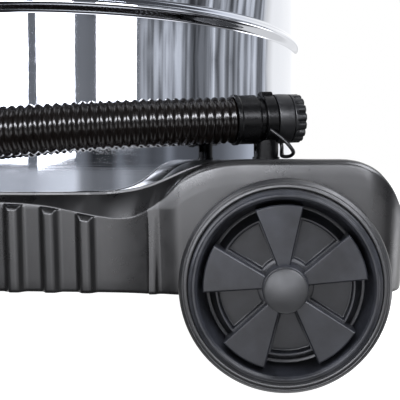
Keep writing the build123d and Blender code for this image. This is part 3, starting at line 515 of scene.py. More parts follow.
def build_hose():
    pitch, per, segs = 6.5, 14, 64
    count = int(round(HOSE_LEN / pitch))
    pitch = HOSE_LEN / count
    rings = []
    for k in range(count * per + 1):
        s = k * pitch / per
        w = 0.5 - 0.5 * math.cos(2 * math.pi * (s / pitch))
        lo, hi = math.tanh(-0.6), math.tanh(0.6)
        rings.append((s, 17.65 + 1.7 * (math.tanh(1.2 * w - 0.6) - lo) / (hi - lo)))
    verts, faces = [], []
    for s, r in rings:
        o, u, v = hose_frame(s)
        for j in range(segs):
            th = 2 * math.pi * j / segs
            verts.append(o + (u * math.cos(th) + v * math.sin(th)) * r)
    n = len(rings)
    for k in range(n - 1):
        for j in range(segs):
            j1 = (j + 1) % segs
            faces.append((k * segs + j, k * segs + j1, (k + 1) * segs + j1, (k + 1) * segs + j))
    # smooth inside
    inner = []
    for s in np.linspace(0.0, HOSE_LEN, 60):
        o, u, v = hose_frame(float(s))
        inner.append(len(verts))
        for j in range(segs):
            th = 2 * math.pi * j / segs
            verts.append(o + (u * math.cos(th) + v * math.sin(th)) * 15.0)
    for a, b in zip(inner, inner[1:]):
        for j in range(segs):
            j1 = (j + 1) % segs
            faces.append((a + j, b + j, b + j1, a + j1))
    for a, b in ((0, inner[0]), ((n - 1) * segs, inner[-1])):
        for j in range(segs):
            j1 = (j + 1) % segs
            faces.append((a + j, a + j1, b + j1, b + j))
    return mesh_object("drain_hose_tube", verts, faces, 70.0)


hose = piece(build_hose(), "chassis", "hose_plastic", "drain_hose")

# pieces at the hose's end, turned round its axis; h runs along the axis from E0
cuff_prof = closed_rounded(
    [(19.0, -8.0), (21.2, -8.0), (21.2, -4.8), (20.4, -3.8), (20.7, 11.0), (19.4, 12.6),
     (17.25, 12.6), (17.25, 26.8), (16.8, 27.2), (16.8, 46.0), (13.5, 46.0), (13.5, 0.5),
     (19.0, 0.5)],
    [0.3, 0.8, 0.8, 0.8, 0.9, 0.7, 0.5, 0.2, 0.2, 0.6, 0.4, 0.3, 0.3], 4)
cuff = piece(lathe("hose_cuff_body", cuff_prof, E0, U1, NEAR, 96), "chassis", "cuff_plastic",
             "hose_cuff")


def collar_shape(th, r, h):
    """Raised key on top, lug for the strap below."""
    if r < 18.5:
        return r, h
    top = (th - math.pi * 1.5 + math.pi) % (2 * math.pi) - math.pi
    low = (th - math.pi * 0.5 + math.pi) % (2 * math.pi) - math.pi
    add = 2.9 * (1 - step(0.20, 0.34, abs(top))) + 5.2 * (1 - step(0.12, 0.24, abs(low)))
    return r + add, h


collar_prof = closed_rounded([(17.3, 17.0), (20.5, 17.0), (20.5, 27.0), (17.3, 27.0)],
                             [0.2, 1.0, 1.0, 0.2], 4)
collar = piece(lathe("cap_collar_ring", collar_prof, E0, U1, NEAR, 192, shape=collar_shape),
               "chassis", "cuff_plastic", "cap_collar")
ring_prof = closed_rounded([(19.35, 27.5), (20.9, 27.5), (21.2, 33.0), (21.0, 41.0), (19.35, 41.0)],
                           [0.3, 0.9, 3.0, 0.9, 0.3], 4)
tether = piece(lathe("tether_band", ring_prof, E0, U1, NEAR, 96), "cap_ring", "cap_plastic",
               "tether_ring")


def knurl(th, r, h):
    """Sixteen finger grooves round the cap's head."""
    if h < 43.0 or r < 15.0:
        return r, h
    w = (th * 16 / (2 * math.pi)) % 1.0
    groove = math.exp(-((w - 0.5) / 0.17) ** 2)
    return r - 2.0 * groove * step(43.0, 45.2, h) * step(13.0, 19.0, r), h


cap_prof = closed_rounded(
    [(0.0, 52.3), (15.4, 52.3), (17.6, 51.7), (20.9, 51.4), (20.9, 41.6), (19.0, 41.4),
     (19.0, 28.1), (17.25, 28.1), (17.25, 49.2), (0.0, 49.2)],
    [0, 0.6, 0.8, 0.9, 0.7, 0.4, 0.5, 0.4, 0.5, 0], 4)
cap_rows = []
for (r0, h0), (r1, h1) in zip(cap_prof, cap_prof[1:] + cap_prof[:1]):
    m = max(1, int(abs(h1 - h0) / 1.3)) if min(r0, r1) > 17.8 else 1
    for k in range(m):
        cap_rows.append((r0 + (r1 - r0) * k / m, h0 + (h1 - h0) * k / m))
cap = piece(lathe("drain_cap_head", cap_rows, E0, U1, NEAR, 256, shape=knurl, angle=40.0), "cap",
            "cap_plastic", "drain_cap")

# strap from the collar to the band
STRAP = [(181.4, -206.5, 196.2), (189.5, -207.5, 190.0), (195.6, -207.0, 183.6),
         (198.5, -204.5, 178.6), (195.6, -199.5, 175.6), (190.0, -193.5, 175.6),
         (189.0, -187.6, 178.6), (189.0, -184.8, 183.8)]


def catmull(pts, n):
    pts = [np.array(p, float) for p in pts]
    pts = [2 * pts[0] - pts[1], *pts, 2 * pts[-1] - pts[-2]]
    out = []
    for i in range(1, len(pts) - 2):
        p0, p1, p2, p3 = pts[i - 1:i + 3]
        for k in range(n):
            t = k / n
            out.append(0.5 * (2 * p1 + (p2 - p0) * t + (2 * p0 - 5 * p1 + 4 * p2 - p3) * t ** 2
                              + (3 * p1 - p0 - 3 * p2 + p3) * t ** 3))
    out.append(pts[-2])
    return out


def tube(name, pts, half_w, half_t, segs=16, up=(0.3, 1.0, 0.2)):
    """A rounded strip along points."""
    verts, faces = [], []
    n = len(pts)
    for i, p in enumerate(pts):
        t = pts[min(i + 1, n - 1)] - pts[max(i - 1, 0)]
        t /= np.linalg.norm(t)
        u = np.array(up, float)
        u -= t * (u @ t)
        u /= np.linalg.norm(u)
        v = np.cross(t, u)
        for j in range(segs):
            th = 2 * math.pi * j / segs
            c, s = math.cos(th), math.sin(th)
            e = 0.7
            verts.append(p + u * half_w * math.copysign(abs(c) ** e, c)
                         + v * half_t * math.copysign(abs(s) ** e, s))
    for i in range(n - 1):
        for j in range(segs):
            j1 = (j + 1) % segs
            faces.append((i * segs + j, i * segs + j1, (i + 1) * segs + j1, (i + 1) * segs + j))
    faces.append(tuple(range(segs))[::-1])
    faces.append(tuple((n - 1) * segs + j for j in range(segs)))
    return mesh_object(name, verts, faces, 60.0)


strap = tube("cap_tether", catmull([(179.1, -203.8, 198.8), *STRAP, (188.3, -184.9, 187.6)], 8), 2.0, 1.45)
dress(strap, "cap_plastic")
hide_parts("cap_strap")
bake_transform(strap)

# ------------------------------------------------------------------------ drum
BEADS = (299.0, 474.0)


def build_drum():
    outer = [(0.0, 112.0), (210.0, 112.0)]
    for k in range(1, 7):
        a = math.radians(15 * k)
        outer.append((210 + 10 * math.sin(a), 122 - 10 * math.cos(a)))
    z = 122.0
    for zb in BEADS:
        outer += [(220.0, zz) for zz in np.arange(z + 20, zb - 24, 20)]
        for k in range(-12, 13):
            t = k / 12 * 8.6
            outer.append((220.0 + 3.0 * (1 + math.cos(math.pi * t / 8.6)), zb + t))
        z = zb + 9
    outer += [(220.0, zz) for zz in np.arange(z + 20, 628, 20)]
    rim = [(221.5 + 4.5 * math.cos(math.radians(a)), 636 + 4.5 * math.sin(math.radians(a)))
           for a in range(-100, 171, 15)]
    outer.append((220.0, 630.6))
    outer += rim
    inner = [(218.5, 634.0)]
    zs = [620.0]
    for zb in reversed(BEADS):
        inner += [(218.5, zz) for zz in np.arange(zs[-1], zb + 24, -30)]
        for k in range(12, -13, -2):
            t = k / 12 * 8.6
            inner.append((218.5 + 3.0 * (1 + math.cos(math.pi * t / 8.6)), zb + t))
        zs.append(zb - 24)
    inner += [(218.5, zz) for zz in np.arange(zs[-1], 125, -30)]
    inner.append((218.5, 122.0))
    for k in range(1, 7):
        a = math.radians(15 * k)
        inner.append((210 + 8.5 * math.cos(a), 122 - 8.5 * math.sin(a)))
    inner.append((0.0, 113.5))
    return lathe("drum_shell", outer + inner, (XD, 0, 0), (0, 0, 1), (1, 0, 0), 256, angle=50.0)


def cylinder_cutter(name, centre, axis, r, half, segs=48):
    prof = [(0.0, -half), (r, -half), (r, half), (0.0, half)]
    side = (0, 0, 1) if abs(axis[2]) < 0.9 else (1, 0, 0)
    return lathe(name, prof, centre, axis, side, segs)


drum_ob = build_drum()
ELBOW = np.array(ROUTE[0]) - 22.0 * (np.array(ROUTE[1]) - np.array(ROUTE[0])) / np.linalg.norm(
    np.array(ROUTE[1]) - np.array(ROUTE[0]))
nrad = np.array([ELBOW[0] - XD, ELBOW[1], 0.0])
nrad /= np.linalg.norm(nrad)
boolean(drum_ob, cylinder_cutter("cut_drain", (XD + nrad[0] * 219, nrad[1] * 219, ELBOW[2]), nrad,
                                 16.8, 20))
boolean(drum_ob, cylinder_cutter("cut_inlet", (XD - 219, 0, 560), (1, 0, 0), 25.7, 20))
smooth(drum_ob.data, 40.0)
drum = piece(drum_ob, "chassis", "stainless", *[n for n in ("drum", "drum_top") if n in NODES])

# ------------------------------------------------------------------------ base
DECK = spline([20.0, 44.0, 58.0, 72.0, 84.5, 97.5, 113.5, 131.0, 150.0, 166.0, 236.0, 246.0,
               255.0, 264.0, 272.0, 278.0, 283.0, 287.5, 291.5],
              [146.0, 146.3, 147.4, 149.6, 153.0, 158.2, 164.6, 170.0, 172.5, 173.0, 173.0, 171.9,
               169.0, 164.0, 156.0, 147.5, 137.0, 125.0, 112.0])
DECK_IN = spline([20.0, 60.0, 74.0, 82.0, 87.0, 92.0, 98.0, 106.0, 116.0, 140.0, 291.5],
                 [146.0, 146.4, 147.4, 149.6, 153.6, 159.6, 165.6, 170.2, 172.6, 173.0, 173.0])
WALL_TOP = spline([-120.0, -60.0, -30.0, 0.0, 24.0, 46.0, 60.0, 69.5, 79.0, 88.5, 97.0, 104.5,
                   112.0, 121.0, 130.5, 150.0, 166.0, 236.0, 246.0, 255.0, 264.0, 272.0, 278.0,
                   283.0, 287.5, 291.5],
                  [139.5, 139.5, 138.6, 136.4, 132.0, 128.0, 126.6, 127.2, 130.6, 135.8, 142.2,
                   150.0, 157.5, 163.2, 167.2, 171.6, 172.6, 172.6, 171.5, 168.6, 163.6, 155.6,
                   147.1, 136.6, 124.6, 111.6])


def half_outline(plain=False):
    """Dense points of the base's -Y outline, front centre to rear centre; plain leaves out the bead."""
    pts = []
    for k in range(0, 361):
        a = math.radians(90 - 90 * k / 360)
        pts.append((XD - 275 * math.sin(a), -228 * math.cos(a)))
    for x in np.arange(XD + 2, 44.1, 2.0):
        pts.append((x, -(228.0 + 4.0 * (x - XD) / 65.0)))
    y0 = 228.0 + 4.0 * (44.0 - XD) / 65.0
    # the wall turns out to the fender in two sweeps with an upright bead between them
    tilt_x = [44.0, 52.0, 62.0, 74.0, 81.0, 84.2, 85.0, 86.6, 88.2, 89.0, 90.4, 91.2, 92.8, 94.2,
              99.0, 104.0, 108.0, 112.5]
    tilt_t = [3.5, 5.0, 8.0, 12.5, 15.5, 15.5, 1.0, -2.0, 0.0, 5.0, 5.0, 0.0, -1.0, 13.0, 16.0,
              15.5, 9.0, 0.0]
    xs = np.arange(44.0, 112.51, 0.25)
    rise = np.cumsum(np.tan(np.radians(np.interp(xs, tilt_x, tilt_t)))) * 0.25
    if plain:
        wide = np.exp(-0.5 * (np.arange(-48, 49) * 0.25 / 5.0) ** 2)
        pad = np.r_[rise[0] - (rise[1] - rise[0]) * np.arange(48, 0, -1), rise,
                    np.full(48, rise[-1])]
        rise = np.convolve(pad, wide / wide.sum(), "valid")
    rise = rise * (241.6 - y0) / rise[-1]
    pts += [(x, -(y0 + r)) for x, r in zip(xs[1:], rise[1:])]
    for x in np.arange(113.5, 125.0, 1.0):
        pts.append((x, -241.6))
    for x in np.arange(125.0, 251.0, 3.0):
        pts.append((x, -241.6 + 0.6 * step(125.0, 160.0, x)))
    for k in range(0, 41):
        a = math.radians(90 * k / 40)
        pts.append((251.5 + 40 * math.sin(a), -(201.0 + 40 * math.cos(a))))
    for y in np.arange(-197.0, 0.1, 4.0):
        pts.append((291.5, min(y, 0.0)))
    if pts[-1][1] < -1e-6:
        pts.append((291.5, 0.0))
    return np.array(pts)


def build_base():
    raw, even = half_outline(), half_outline(True)
    d = np.linalg.norm(np.diff(raw, axis=0), axis=1)
    keep_pt = np.r_[True, d > 1e-6]
    raw, even = raw[keep_pt], even[keep_pt]
    arc = np.r_[0.0, np.cumsum(np.linalg.norm(np.diff(raw, axis=0), axis=1))]
    # ribs: the first 34.5 mm behind the origin, then one each 29 mm towards the front
    s_first = float(np.interp(34.5, raw[:, 0][360:420], arc[360:420]))
    ribs = [s_first - 29.0 * k for k in range(12)]
    # stations, close together at the ribs and at the crease
    stations = set()
    for s in np.arange(0.0, arc[-1], 6.0):
        stations.add(round(float(s), 3))
    stations.add(round(float(arc[-1]), 3))
    for c in ribs:
        for t in (-10.5, -9.4, -8.6, -8.0, -7.4, -6.6, -5.8, -5.0, -4.4, -3.9, -3.3, -2.6, -1.3, 0.0,
                  1.3, 2.6, 3.3, 3.9, 4.4, 5.0, 5.8, 6.6, 7.4, 8.0, 8.6, 9.4, 10.5):
            stations.add(round(c + t, 3))
    s_a = float(np.interp(44.0, raw[:, 0][360:], arc[360:]))
    for s in np.arange(s_a, s_a + 40.0, 2.0):
        stations.add(round(float(s), 3))
    for s in np.arange(s_a + 40.0, s_a + 58.0, 0.5):
        stations.add(round(float(s), 3))
    for s in np.arange(s_a + 58.0, s_a + 130.0, 2.0):
        stations.add(round(float(s), 3))
    s_c = arc[-1] - 201.0 - 62.8
    for s in np.arange(s_c - 12, s_c + 76.0, 1.8):
        stations.add(round(float(s), 3))
    st = sorted(x for x in stations if 0 <= x <= arc[-1])
    st = [s for i, s in enumerate(st) if i == 0 or s - st[i - 1] > 0.25]
    if st[-1] < arc[-1] - 1e-6:
        st.append(arc[-1])
    kern = np.linspace(-1.2, 1.2, 9)

    def rib_at(s):
        h = 0.0
        for c in ribs:
            if abs(s - c) < 12:
                t = np.abs(s + kern - c)
                h = max(h, float(np.mean(np.clip((7.8 - t) / 4.3, 0, 1))))
        return h

    rows = []
    for s in st:
        x = float(np.interp(s, arc, raw[:, 0]))
        y = float(np.interp(s, arc, raw[:, 1]))
        e = 0.6
        x0, y0 = np.interp(max(s - e, 0), arc, raw[:, 0]), np.interp(max(s - e, 0), arc, raw[:, 1])
        x1, y1 = (np.interp(min(s + e, arc[-1]), arc, raw[:, 0]),
                  np.interp(min(s + e, arc[-1]), arc, raw[:, 1]))
        tx, ty = x1 - x0, y1 - y0
        ln = math.hypot(tx, ty)
        nx, ny = ty / ln, -tx / ln               # outward
        if s <= 1e-9:
            nx, ny = -1.0, 0.0
        if s >= arc[-1] - 1e-9:
            nx, ny = 1.0, 0.0
        # the same place on the outline without the bead
        ex, ey = np.interp(s, arc, even[:, 0]), np.interp(s, arc, even[:, 1])
        ea, eb = max(s - e, 0), min(s + e, arc[-1])
        ux = np.interp(eb, arc, even[:, 0]) - np.interp(ea, arc, even[:, 0])
        uy = np.interp(eb, arc, even[:, 1]) - np.interp(ea, arc, even[:, 1])
        ul = math.hypot(ux, uy)
        mx, my = uy / ul, -ux / ul
        if s <= 1e-9 or s >= arc[-1] - 1e-9:
            mx, my = nx, ny
        # room between the outline and the drum
        gap = math.hypot(ex - XD, ey) - 220.6
        lip_w = 2.1
        t_cap = 9.0 + 5.0 * step(30.0, 52.0, x)
        t_in = min(t_cap, gap - lip_w - 0.35)
        upright = 0.55 * step(83.6, 85.6, x) * (1 - step(88.4, 94.0, x))
        shoulder = step(84.0, 112.0, x)
        deep = 1.6 + 10.4 * shoulder
        zw = WALL_TOP(x)
        xi, yi = ex - mx * t_in, ey - my * t_in
        zt = DECK(xi) if xi > 20 else 146.0
        rear = step(120.0, 165.0, x)
        # rear end: the top surface runs down to the wall, so the lip goes
        lip = 1.7 * (1 - step(95.0, 140.0, x))
        rib = rib_at(s) if x < 60 else 0.0
        sec = []
        # underside of the wall
        sec.append((9.6, 107.0))
        sec.append((10.6, 72.0))
        sec += [(10.4, 68.2), (9.6, 67.2), (8.6, 67.0)]
        foot = (5.0 - 5.0 * rib) * (1 - upright)
        sec += [(foot + 1.4, 67.0), (foot + 0.5, 67.35), (foot + 0.05, 68.3)]
        levels = [70.0, 78.0, 88.0, 98.0, 108.0]
        top_f = zw - deep - 5.8
        levels = [z for z in levels if z < top_f - 3]
        while len(levels) < 5:
            levels.append(levels[-1] + (top_f - 2 - levels[-1]) / 2)
        levels += [zw - deep - q for q in (7.0, 5.6, 4.8, 4.0, 3.0, 2.0, 1.0, 0.0)]
        for z in levels:
            ins = max(0.0, 5.0 * (134.0 - z) / 67.0) * (1 - upright)
            reach = 5.0 * rib
            # the rib's head slopes back to the wall
            drop = (zw + 0.6) - z
            lim = 5.0 * drop / 5.6
            soft = 0.7
            if reach > 0:
                reach = reach - max(0.0, (reach - lim + soft)) ** 2 / (4 * soft) if reach - lim < soft else lim
            sec.append((ins - max(reach, 0.0), z))
        base_in = max(0.0, 5.0 * (134.0 - zw) / 67.0)
        # rounded shoulder, ledge, lip
        top_pt = (t_in, zt - lip)
        ledge = rounded([(base_in, zw - deep), (base_in + 0.1, zw), top_pt,
                         (t_in + 0.02, zt - 0.02)] if lip > 0.4 else
                        [(base_in, zw - deep), (base_in + 0.1, zw + 0.02), top_pt,
                         (t_in + 1.0, zt - lip + 0.0)],
                        [0, 2.2 + 3.8 * shoulder, 0.9, 0], 7, True)
        n_wall = len(sec)
        sec += ledge[1:]
        x_l, z_l = t_in, zt
        for k in range(1, 7):
            a = math.pi * k / 6
            sec.append((x_l + lip_w / 2 - lip_w / 2 * math.cos(a) + 0.02,
                        z_l + 0.75 * math.sin(a) * min(1.0, lip / 1.2)))
        cut = []
        for i, (ins, z) in enumerate(sec):
            w = step(base_in + 0.2, base_in + 3.0, ins) if i >= n_wall else 0.0
            cut.append(((x - nx * ins) * (1 - w) + (ex - mx * ins) * w,
                        (y - ny * ins) * (1 - w) + (ey - my * ins) * w, z))
        rows.append((x, y, nx, ny, cut, (ex - mx * (t_in + lip_w + 0.02),
                                         ey - my * (t_in + lip_w + 0.02))))
    n_sec = len(rows[0][4])
    assert all(len(r[4]) == n_sec for r in rows)
    # both sides
    loop = rows + [(x, -y, nx, -ny, [(a, -b, c) for a, b, c in sec], (w[0], -w[1]))
                   for x, y, nx, ny, sec, w in rows[-2:0:-1]]
    verts, faces = [], []
    n_fill = 10
    n_tray = 5
    n_low = 5
    total = n_low + n_sec + n_fill + n_tray
    for x, y, nx, ny, sec, w in loop:
        col = []
        # underside, centre outwards
        xi, yi = x - nx * 9.6, y - ny * 9.6
        r_in = math.hypot(xi - XD, yi)
        for k in range(n_low):
            f = k / n_low
            col.append((XD + (xi - XD) * f, yi * f, 107.0))
        col += sec
        # deck, inwards to the tray's edge
        xe, ye = w
        re = math.hypot(xe - XD, ye)
        z_e = sec[-1][2]
        for k in range(1, n_fill + 1):
            f = k / n_fill
            r = re + (220.7 - re) * f
            px, py = XD + (xe - XD) / re * r, ye / re * r
            zz = DECK(px) if px > 20 else 146.0
            if 20 < px < 200:
                zz = zz * (1 - f) + max(zz, DECK_IN(px)) * f
            if k == n_fill:
                zz -= 0.5
            fall = 1 - step(0.0, 0.25, f)
            col.append((px, py, zz * (1 - fall) + min(z_e, zz + 0.8) * fall))
        ux, uy = (xe - XD) / re, ye / re
        for r, z in ((220.6, 140.0), (220.6, 114.0), (150.0, 112.0), (60.0, 112.0), (0.0, 112.0)):
            col.append((XD + ux * r, uy * r, z))
        verts += col
    m = len(loop)
    for i in range(m):
        a, b = i * total, ((i + 1) % m) * total
        for j in range(total - 1):
            faces.append((a + j, b + j, b + j + 1, a + j + 1))
    ob = mesh_object("base_moulding", verts, faces, 42.0)
    # bosses for the axle, sockets for the casters
    extra = []
    for m_ in (1, -1):
        prof = closed_rounded([(6.1, 211.0), (17.0, 211.0), (17.0, 241.2), (6.1, 241.2)],
                              [0.5, 1.5, 1.2, 0.5], 4)
        extra.append(lathe("boss", prof, (XW, 0, R_WHEEL), (0, m_, 0), (0, 0, 1), 64))
        prof = closed_rounded([(6.1, 68.0), (14.0, 68.0), (14.6, 109.0), (6.1, 109.0)],
                              [0.5, 1.2, 0.5, 0.5], 4)
        extra.append(lathe("socket", prof, (-190.0, m_ * 115.0, 0), (0, 0, 1), (1, 0, 0), 48))
    # webs between the bosses and the wall
    for m_ in (1, -1):
        for dx in (-26.0, 26.0):
            v, f = prism(closed_rounded([(dx - 1.6, 84.0), (dx + 1.6, 84.0), (dx + 1.6, 108.0),
                                         (dx - 1.6, 108.0)], 0.6, 3),
                         ((XW, 0, 0), (1, 0, 0), (0, 0, 1), (0, m_, 0)), 150.0, 231.0)
            extra.append(mesh_object("web", v, f))
    join(ob, *extra)
    smooth(ob.data, 42.0)
    return ob


base = piece(build_base(), "chassis", "black_plastic", "base")

# ---------------------------------------------------------------------- wheels
BLADES = [-4.5 + 72.0 * k for k in range(5)]


def radial_pts(r, deg):
    a = math.radians(deg)
    return r * math.sin(a), r * math.cos(a)


def blade_outline(mid, half, r0, r1):
    pts = [radial_pts(r1, mid - half + 2 * half * k / 14) for k in range(15)]
    pts += [radial_pts(r0, mid + half - 2 * half * k / 4) for k in range(5)]
    return pts


def blade_grown(mid, half, r0, r1, off):
    """The blade's outline moved outwards by off mm."""
    def side(r):
        return half + math.degrees(math.asin(off / r))
    w1, w0 = side(r1 + off), side(r0)
    pts = [radial_pts(r1 + off, mid - w1 + 2 * w1 * k / 14) for k in range(15)]
    pts += [radial_pts(r0, mid + w0 - 2 * w0 * k / 4) for k in range(5)]
    return pts


SHELF, FLOOR = 261.9, 254.4


def pocket_outline(mid, off):
    """A pocket between two blades, its sides level with theirs, moved outwards by off mm."""
    r1, r0, d = 50.0 + off, 21.0 - off, 1.6 - off
    w1, w0 = (19.0 - math.degrees(math.asin(d / r)) for r in (r1, r0))
    pts = [radial_pts(r1, mid - w1 + 2 * w1 * k / 16) for k in range(17)]
    pts += [radial_pts(r0, mid + w0 - 2 * w0 * k / 6) for k in range(7)]
    return pts


def build_wheel(m, tag):
    o = np.array([XW, 0.0, R_WHEEL])
    ax = (0.0, float(m), 0.0)
    # local frame of the wheel's face: x to world +X, y up, h along the axis outwards
    face = (o, (1, 0, 0), (0, 0, 1), ax)
    tyre_prof = closed_rounded(
        [(68.0, 246.0), (73.0, 244.9), (77.4, 246.6), (79.3, 250.5), (79.3, 260.4), (78.5, 264.2),
         (76.4, 266.5), (75.6, 266.9), (75.1, 266.6), (74.6, 267.2), (73.0, 267.5), (71.7, 266.9),
         (71.7, 262.4), (68.0, 262.4)],
        [0.4, 1.5, 2.0, 2.5, 3.0, 2.6, 1.0, 0.3, 0.3, 0.4, 1.2, 0.6, 0.2, 0.2], 5)
    tyre = lathe(tag + "_tyre_ring", tyre_prof, o, ax, (0, 0, 1), 192)
    piece(tyre, tag + "_wheel", "tyre_rubber", tag + "_tyre")
    rim_prof = rounded(
        [(17.6, SHELF), (16.6, 278.4), (8.0, 278.4), (8.0, 244.4), (16.0, 244.4), (17.0, 248.0),
         (62.4, 248.0), (63.4, 246.0), (67.9, 246.0), (67.9, 262.4), (71.2, 262.7), (71.2, 268.4),
         (70.4, 269.8), (68.7, 270.4), (67.7, 272.0), (66.0, 272.0), (64.3, 270.2), (62.9, 262.0),
         (60.2, 251.2), (57.4, 250.6), (52.2, 260.4), (51.7, SHELF)],
        [0, 0.8, 0.2, 0.2, 0.6, 0.6, 0.8, 0.4, 0.5, 0.3, 0.2, 0.8, 0.8, 0.8, 0.9, 0.9, 1.4, 3.0, 1.2,
         1.2, 0.6, 0], 5)
    segs = 160
    rim = lathe(tag + "_rim_disc", rim_prof, o, ax, (0, 0, 1), segs, closed=False)
    # the shelf behind the blades, with a pocket between each two
    turn = [2 * math.pi * k / segs for k in range(segs)]
    rings = [[(51.7 * m * math.sin(t), 51.7 * math.cos(t)) for t in turn],
             [(17.6 * m * math.sin(t), 17.6 * math.cos(t)) for t in turn]]
    steps = [(0.5, SHELF), (0.42, SHELF - 0.05), (0.06, SHELF - 0.41), (0.0, SHELF - 0.55), (0.0, FLOOR + 0.6),
             (-0.18, FLOOR + 0.17), (-0.6, FLOOR), (-1.2, FLOOR)]
    mids = [b + 36.0 for b in BLADES]
    rings += [pocket_outline(mid, steps[0][0]) for mid in mids]
    flat = [[Vector((x, y, 0.0)) for x, y in ring] for ring in rings]
    tris = tessellate_polygon(flat)
    ex, ey, eh = np.array((1.0, 0, 0)), np.array((0, 0, 1.0)), np.array(ax)
    v = [o + ex * x + ey * y + eh * SHELF for ring in rings for x, y in ring]
    f = [tuple(t) for t in tris]
    for mid in mids:
        first = len(v)
        n = len(pocket_outline(mid, 0.0))
        for off, h in steps:
            v += [o + ex * x + ey * y + eh * h for x, y in pocket_outline(mid, off)]
        for k in range(len(steps) - 1):
            f += [(first + k * n + i, first + k * n + (i + 1) % n,
                   first + (k + 1) * n + (i + 1) % n, first + (k + 1) * n + i) for i in range(n)]
        last = first + (len(steps) - 1) * n
        f.append(tuple(range(last, last + n)))
    shelf = mesh_object("shelf", v, f)
    join(rim, shelf)
    bm = bmesh.new()
    bm.from_mesh(rim.data)
    bmesh.ops.remove_doubles(bm, verts=bm.verts, dist=2e-6)
    bmesh.ops.recalc_face_normals(bm, faces=bm.faces)
    bm.to_mesh(rim.data)
    bm.free()
    blades = []
    for mid in BLADES:
        rows = [(0.25, 250.2), (0.08, 261.0), (0.0, 269.4), (-0.03, 269.62), (-0.12, 269.78),
                (-0.8, 270.46), (-0.95, 270.57), (-1.15, 270.6), (-1.6, 270.6)]
        lines = [(blade_grown(mid, 17.0, 11.0, 60.3, off), h) for off, h in rows]
        n = len(lines[0][0])
        v = [o + np.array((1.0, 0, 0)) * x + np.array((0, 0, 1.0)) * y + np.array(ax) * h
             for line, h in lines for x, y in line]
        last = (len(lines) - 1) * n
        f = [tuple(range(n))[::-1], tuple(range(last, last + n))]
        for k in range(len(lines) - 1):
            f += [(k * n + i, k * n + (i + 1) % n, (k + 1) * n + (i + 1) % n, (k + 1) * n + i)
                  for i in range(n)]
        blades.append(mesh_object("blade", v, f))
    join(rim, *blades)
    smooth(rim.data, 38.0)
    piece(rim, tag + "_wheel", "wheel_plastic", tag + "_rim")
    ball = 33.9
    dome = [(ball * math.sin(math.radians(26.6 * k / 14)),
             287.0 - ball * (1 - math.cos(math.radians(26.6 * k / 14)))) for k in range(15)]
    tail = rounded([dome[-1], (15.75, 282.7), (15.9, 281.0), (15.9, 278.5), (12.4, 278.5),
                    (12.4, 282.2), (0.0, 283.0)], [0, 0.9, 0.8, 0.4, 0.3, 0.5, 0], 4)
    cap_line = dome + tail[1:]
    hub = lathe(tag + "_hub_dome", cap_line, o, ax, (0, 0, 1), 96, closed=True)
    piece(hub, tag + "_wheel", "hub_plastic", tag + "_hub_cap")


build_wheel(-1, "left")
build_wheel(1, "right")

# ------------------------------------------------- CAD nodes that stay as they are
SLOT_OF = {}
for sub in frame["record"].get("subparts", []):
    SLOT_OF[sub.get("node") or sub.get("name")] = sub.get("material_slot")
for n, ob in NODES.items():
    slot = SLOT_OF.get(n)
    if slot in MAT:
        for i in range(max(1, len(ob.material_slots))):
            if len(ob.material_slots) == 0:
                ob.data.materials.append(MAT[slot])
            else:
                ob.material_slots[i].material = MAT[slot]

NODES["hose_post"].material_slots[0].material = MAT["cuff_plastic"]

# ----------------------------------------------------------------- floor, light
floor_me = bpy.data.meshes.new("floor")
floor_me.from_pydata([(-9, -9, 0), (9, -9, 0), (9, 9, 0), (-9, 9, 0)], [], [(0, 1, 2, 3)])
floor = add_object("floor", floor_me)
fm = bpy.data.materials.new("floor_paper")
fm.use_nodes = True
fb = fm.node_tree.nodes["Principled BSDF"]
fb.inputs["Base Color"].default_value = (0.30, 0.30, 0.305, 1)
fb.inputs["Roughness"].default_value = 0.75
fb.inputs["Emission Color"].default_value = (1, 1, 1, 1)
fb.inputs["Emission Strength"].default_value = 1.03
fb.inputs["Specular IOR Level"].default_value = 0.1
floor.data.materials.append(fm)
floor.visible_glossy = False


COOL = (0.965, 0.98, 1.045)


def softbox(name, a, b, z0, z1, radiance, colour=COOL):
    """A standing light panel from plan point a to b (metres), facing the object."""
    a, b = np.array(a, float), np.array(b, float)
    mid = (a + b) / 2
    w = float(np.linalg.norm(b - a))
    h = z1 - z0
    data = bpy.data.lights.new(name, "AREA")
    data.shape = "RECTANGLE"
    data.size = w
    data.size_y = h
    data.energy = radiance * math.pi * w * h
    data.color = colour
    ob = bpy.data.objects.new(name, data)
    scene.collection.objects.link(ob)
    centre = Vector((mid[0], mid[1], (z0 + z1) / 2))
    t = (b - a) / w
    nrm = Vector((-t[1], t[0], 0.0))
    if nrm.dot(Vector((0, 0, centre.z)) - centre) < 0:
        nrm = -nrm
    zax = -nrm
    yax = Vector((0, 0, 1))
    xax = yax.cross(zax)
    m = Matrix((xax, yax, zax)).transposed().to_4x4()
    m.translation = centre
    ob.matrix_world = m
    ob.visible_camera = False
    return ob


fronts = [softbox("panel_a", (-2.35, -2.25), (-0.98, -2.72), 0.18, 1.4, 10.5),
          softbox("panel_b", (-0.735, -2.61), (0.095, -2.72), 0.18, 1.4, 14.0),
          softbox("panel_c", (0.585, -2.63), (1.39, -2.28), 0.28, 1.4, 10.5)]
fronts[1].rotation_euler.rotate_axis("Z", math.radians(4.0))
for ob in fronts:
    ob.visible_diffuse = False


def high_panel(name, place, aim, w, h, radiance):
    data = bpy.data.lights.new(name, "AREA")
    data.shape = "RECTANGLE"
    data.size, data.size_y = w, h
    data.energy = radiance * math.pi * w * h
    data.color = COOL
    ob = bpy.data.objects.new(name, data)
    scene.collection.objects.link(ob)
    ob.location = place
    ob.rotation_euler = (Vector(place) - Vector(aim)).to_track_quat("Z", "Y").to_euler()
    ob.visible_camera = False
    return ob


highs = [high_panel("panel_high_right", (1.35, -0.75, 1.65), (0.15, -0.25, 0.1), 1.5, 1.3, 11.0),
         high_panel("panel_high_left", (-1.25, -0.9, 1.55), (0.1, -0.25, 0.1), 1.5, 1.3, 5.0)]

